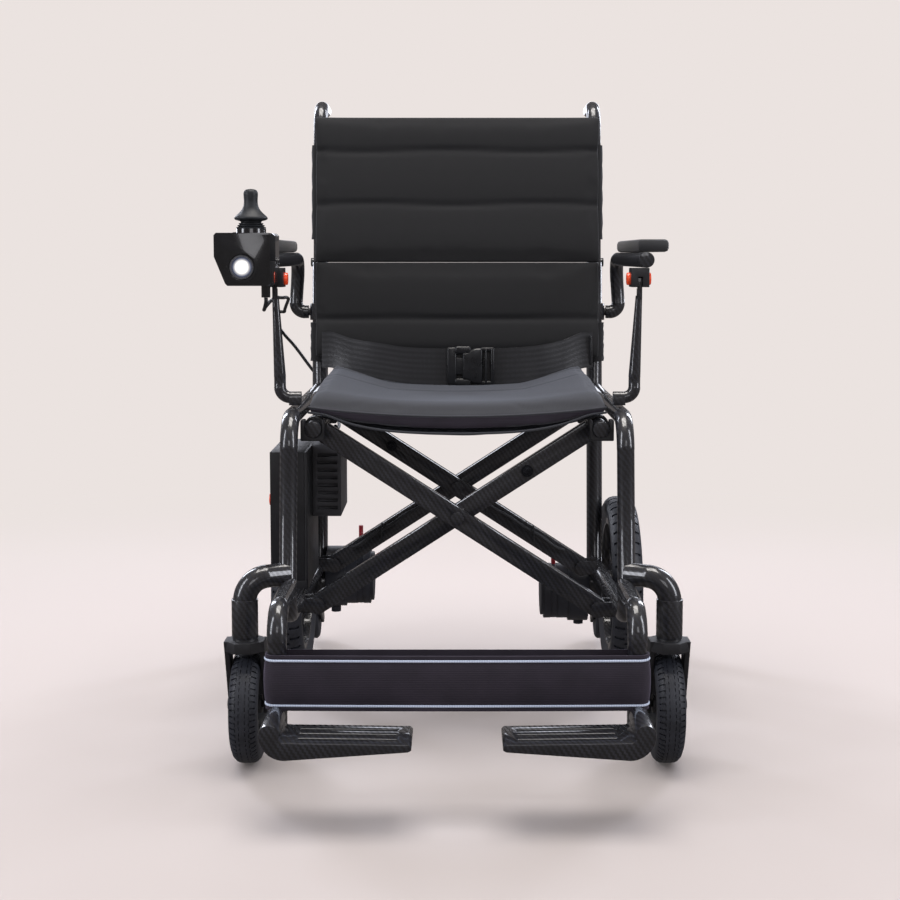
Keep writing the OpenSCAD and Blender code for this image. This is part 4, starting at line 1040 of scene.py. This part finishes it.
# Handling marks, 4 mm across
rubbed = add(tree, "TexNoise", {"Vector": place.outputs["Object"], "Scale": 250.0, "Detail": 3.0})
tone = add(tree, "MixRGB", {"Fac": rubbed.outputs["Fac"], "Color1": linear("c83210"),
                            "Color2": linear("f0531c")})
tree.links.new(tone.outputs["Color"], shader.inputs["Base Color"])
gloss = add(tree, "MapRange", {"Value": rubbed.outputs["Fac"], "To Min": 0.2, "To Max": 0.36})
tree.links.new(gloss.outputs["Result"], shader.inputs["Roughness"])

for hand in ("right", "left"):
    carried_over(f"{hand}_arm_pad", urethane, 0.0055)
    carried_over(f"{hand}_arm_latch", nylon, 0.0016)
    carried_over(f"{hand}_latch_button", orange_abs, 0.0012)


# Joystick pod on the right arm: a two-part case with a glossy cover, a headlight in its nose,
# and the stick in a rubber gaiter. The case is ABS, the knob and gaiter are silicone rubber.
gloss_black, tree, shader, place = surface("piano_black_abs", {
    "IOR": 1.54, "Coat Weight": 0.8, "Coat Roughness": 0.04})
# Polishing haze, 15 mm across
haze = add(tree, "TexNoise", {"Vector": place.outputs["Object"], "Scale": 65.0, "Detail": 4.0})
tone = add(tree, "MixRGB", {"Fac": haze.outputs["Fac"], "Color1": linear("08090a"),
                           "Color2": linear("141518")})
tree.links.new(tone.outputs["Color"], shader.inputs["Base Color"])
gloss = add(tree, "MapRange", {"Value": haze.outputs["Fac"], "To Min": 0.12, "To Max": 0.24})
tree.links.new(gloss.outputs["Result"], shader.inputs["Roughness"])

silicone, tree, shader, place = surface("matt_silicone_rubber", {"IOR": 1.41})
# Bloom on the rubber, 5 mm across
bloom = add(tree, "TexNoise", {"Vector": place.outputs["Object"], "Scale": 200.0, "Detail": 4.0})
tone = add(tree, "MixRGB", {"Fac": bloom.outputs["Fac"], "Color1": linear("0f1113"),
                           "Color2": linear("262a2f")})
tree.links.new(tone.outputs["Color"], shader.inputs["Base Color"])
gloss = add(tree, "MapRange", {"Value": bloom.outputs["Fac"], "To Min": 0.42, "To Max": 0.6})
tree.links.new(gloss.outputs["Result"], shader.inputs["Roughness"])

carried_over("joystick_case", gloss_black, 0.0018)
low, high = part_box("joystick_lever")
stick = Vector((-0.271, (low.y + high.y) / 2, 0))
top = high.z
knob = turned("joystick_knob", [
    (top - 0.085, 0.0), (top - 0.085, 0.0038), (top - 0.043, 0.0038), (top - 0.0415, 0.0185),
    (top - 0.0400, 0.0215), (top - 0.0380, 0.0224), (top - 0.0355, 0.0205), (top - 0.0310, 0.0150),
    (top - 0.0260, 0.0108),
    (top - 0.0200, 0.0090), (top - 0.0140, 0.0089), (top - 0.0080, 0.0096), (top - 0.0040, 0.0094),
    (top - 0.0015, 0.0078), (top - 0.0003, 0.0045), (top, 0.0)], stick, 48, axis=(0, 0, 1))
soft = knob.modifiers.new("soft_edges", "SUBSURF")
soft.levels = soft.render_levels = 1
bpy.ops.object.modifier_apply(modifier="soft_edges")
bpy.ops.object.shade_smooth()
knob.data.materials.append(silicone)
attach(knob, "stick")
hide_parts("joystick_lever")
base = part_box("joystick_case")[1].z
folds = [(base - 0.001, 0.0185)]
for k, r in enumerate((0.0180, 0.0165, 0.0148, 0.0125)):
    z = base + 0.0008 + 0.0026 * k
    folds += [(z, r + 0.0012), (z + 0.0012, r + 0.0014), (z + 0.0019, r - 0.0018)]
folds += [(base + 0.0118, 0.0052), (base + 0.0108, 0.0040), (base - 0.001, 0.0150)]
gaiter = turned("joystick_gaiter", folds, stick, 48, axis=(0, 0, 1))
bpy.ops.object.shade_smooth_by_angle(angle=math.radians(50))
gaiter.data.materials.append(silicone)
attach(gaiter, "stick")

# Headlight: a clear dome over a bright LED in a silvered dish
lamp_glass, tree, shader, place = surface("lit_led_lens", {"Roughness": 0.12, "Coat Weight": 1.0})
low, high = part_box("headlight")
eye = Vector(((low.x + high.x) / 2, low.y, (low.z + high.z) / 2))
away = add(tree, "VectorMath", {0: place.outputs["Object"], 1: tuple(eye)}, operation="DISTANCE")
# The LED fills the middle 7 mm, and its light falls off across the dish
near = add(tree, "MapRange", {"Value": away.outputs["Value"], "From Min": 0.003, "From Max": 0.013,
                              "To Min": 1.0, "To Max": 0.0}, interpolation_type="SMOOTHSTEP")
glow = add(tree, "MixRGB", {"Fac": near.outputs["Result"], "Color1": linear("343a4e"),
                            "Color2": linear("fffdf4")})
tree.links.new(glow.outputs["Color"], shader.inputs["Base Color"])
tree.links.new(glow.outputs["Color"], shader.inputs["Emission Color"])
shader.inputs["Emission Strength"].default_value = 1.3

chrome, tree, shader, place = surface("zinc_plated_steel", {"Metallic": 1.0})
# Plating crystals and rub marks, 1.5 mm across
spangle = add(tree, "TexNoise", {"Vector": place.outputs["Object"], "Scale": 650.0, "Detail": 3.0})
tone = add(tree, "MixRGB", {"Fac": spangle.outputs["Fac"], "Color1": linear("7c7f86"),
                            "Color2": linear("b4b8c0")})
tree.links.new(tone.outputs["Color"], shader.inputs["Base Color"])
gloss = add(tree, "MapRange", {"Value": spangle.outputs["Fac"], "To Min": 0.2, "To Max": 0.4})
tree.links.new(gloss.outputs["Result"], shader.inputs["Roughness"])

r = (high.z - low.z) / 2
bpy.ops.object.select_all(action="DESELECT")
bpy.ops.mesh.primitive_uv_sphere_add(segments=48, ring_count=24, radius=1.0, location=(0, 0, 0))
lens = bpy.context.object
lens.name = "headlight_lens"
for v in lens.data.vertices:
    x, y, z = v.co
    v.co = (eye.x + x * (r - 0.0025), low.y + 0.0048 + y * (0.0042 if y < 0 else 0.004),
            eye.z + z * (r - 0.0025))
bpy.ops.object.shade_smooth()
lens.data.materials.append(lamp_glass)
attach(lens, "right_arm")
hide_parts("headlight")
bezel_section = [(r - 0.0028, 0.0), (r - 0.0006, 0.0), (r, 0.001), (r, 0.0098), (r - 0.004, 0.0098),
                 (r - 0.004, 0.004)]
ring = []
for k in range(64):
    turn = 2 * math.pi * k / 64
    out = Vector((math.cos(turn), 0, math.sin(turn)))
    ring.append((Vector((eye.x, low.y, eye.z)), out, Vector((0, 1, 0))))
bezel = swept("headlight_bezel", bezel_section, ring, True)
bezel.data.materials.append(chrome)
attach(bezel, "right_arm")


# Battery and controller on the right frame tube.
# The battery is a slim ABS pack that slides up off its cradle; the controller is a finned aluminium case.
carried_over("battery_case", nylon, 0.006)
carried_over("battery_button", orange_abs, 0.0012)

anodised, tree, shader, place = surface("grey_anodised_aluminium", {"Metallic": 0.6})
# Bead-blasted skin, 1 mm across, with handling marks over it
blast = add(tree, "TexNoise", {"Vector": place.outputs["Object"], "Scale": 950.0, "Detail": 2.0})
marks = add(tree, "TexNoise", {"Vector": place.outputs["Object"], "Scale": 40.0, "Detail": 4.0})
tone = add(tree, "MixRGB", {"Fac": marks.outputs["Fac"], "Color1": linear("3d3e41"),
                           "Color2": linear("5a5b60")})
tree.links.new(tone.outputs["Color"], shader.inputs["Base Color"])
gloss = add(tree, "MapRange", {"Value": marks.outputs["Fac"], "To Min": 0.38, "To Max": 0.55})
tree.links.new(gloss.outputs["Result"], shader.inputs["Roughness"])
relief = add(tree, "Bump", {"Height": blast.outputs["Fac"], "Strength": 0.2, "Distance": 0.0003})
tree.links.new(relief.outputs["Normal"], shader.inputs["Normal"])
carried_over("controller_case", anodised, 0.0015)
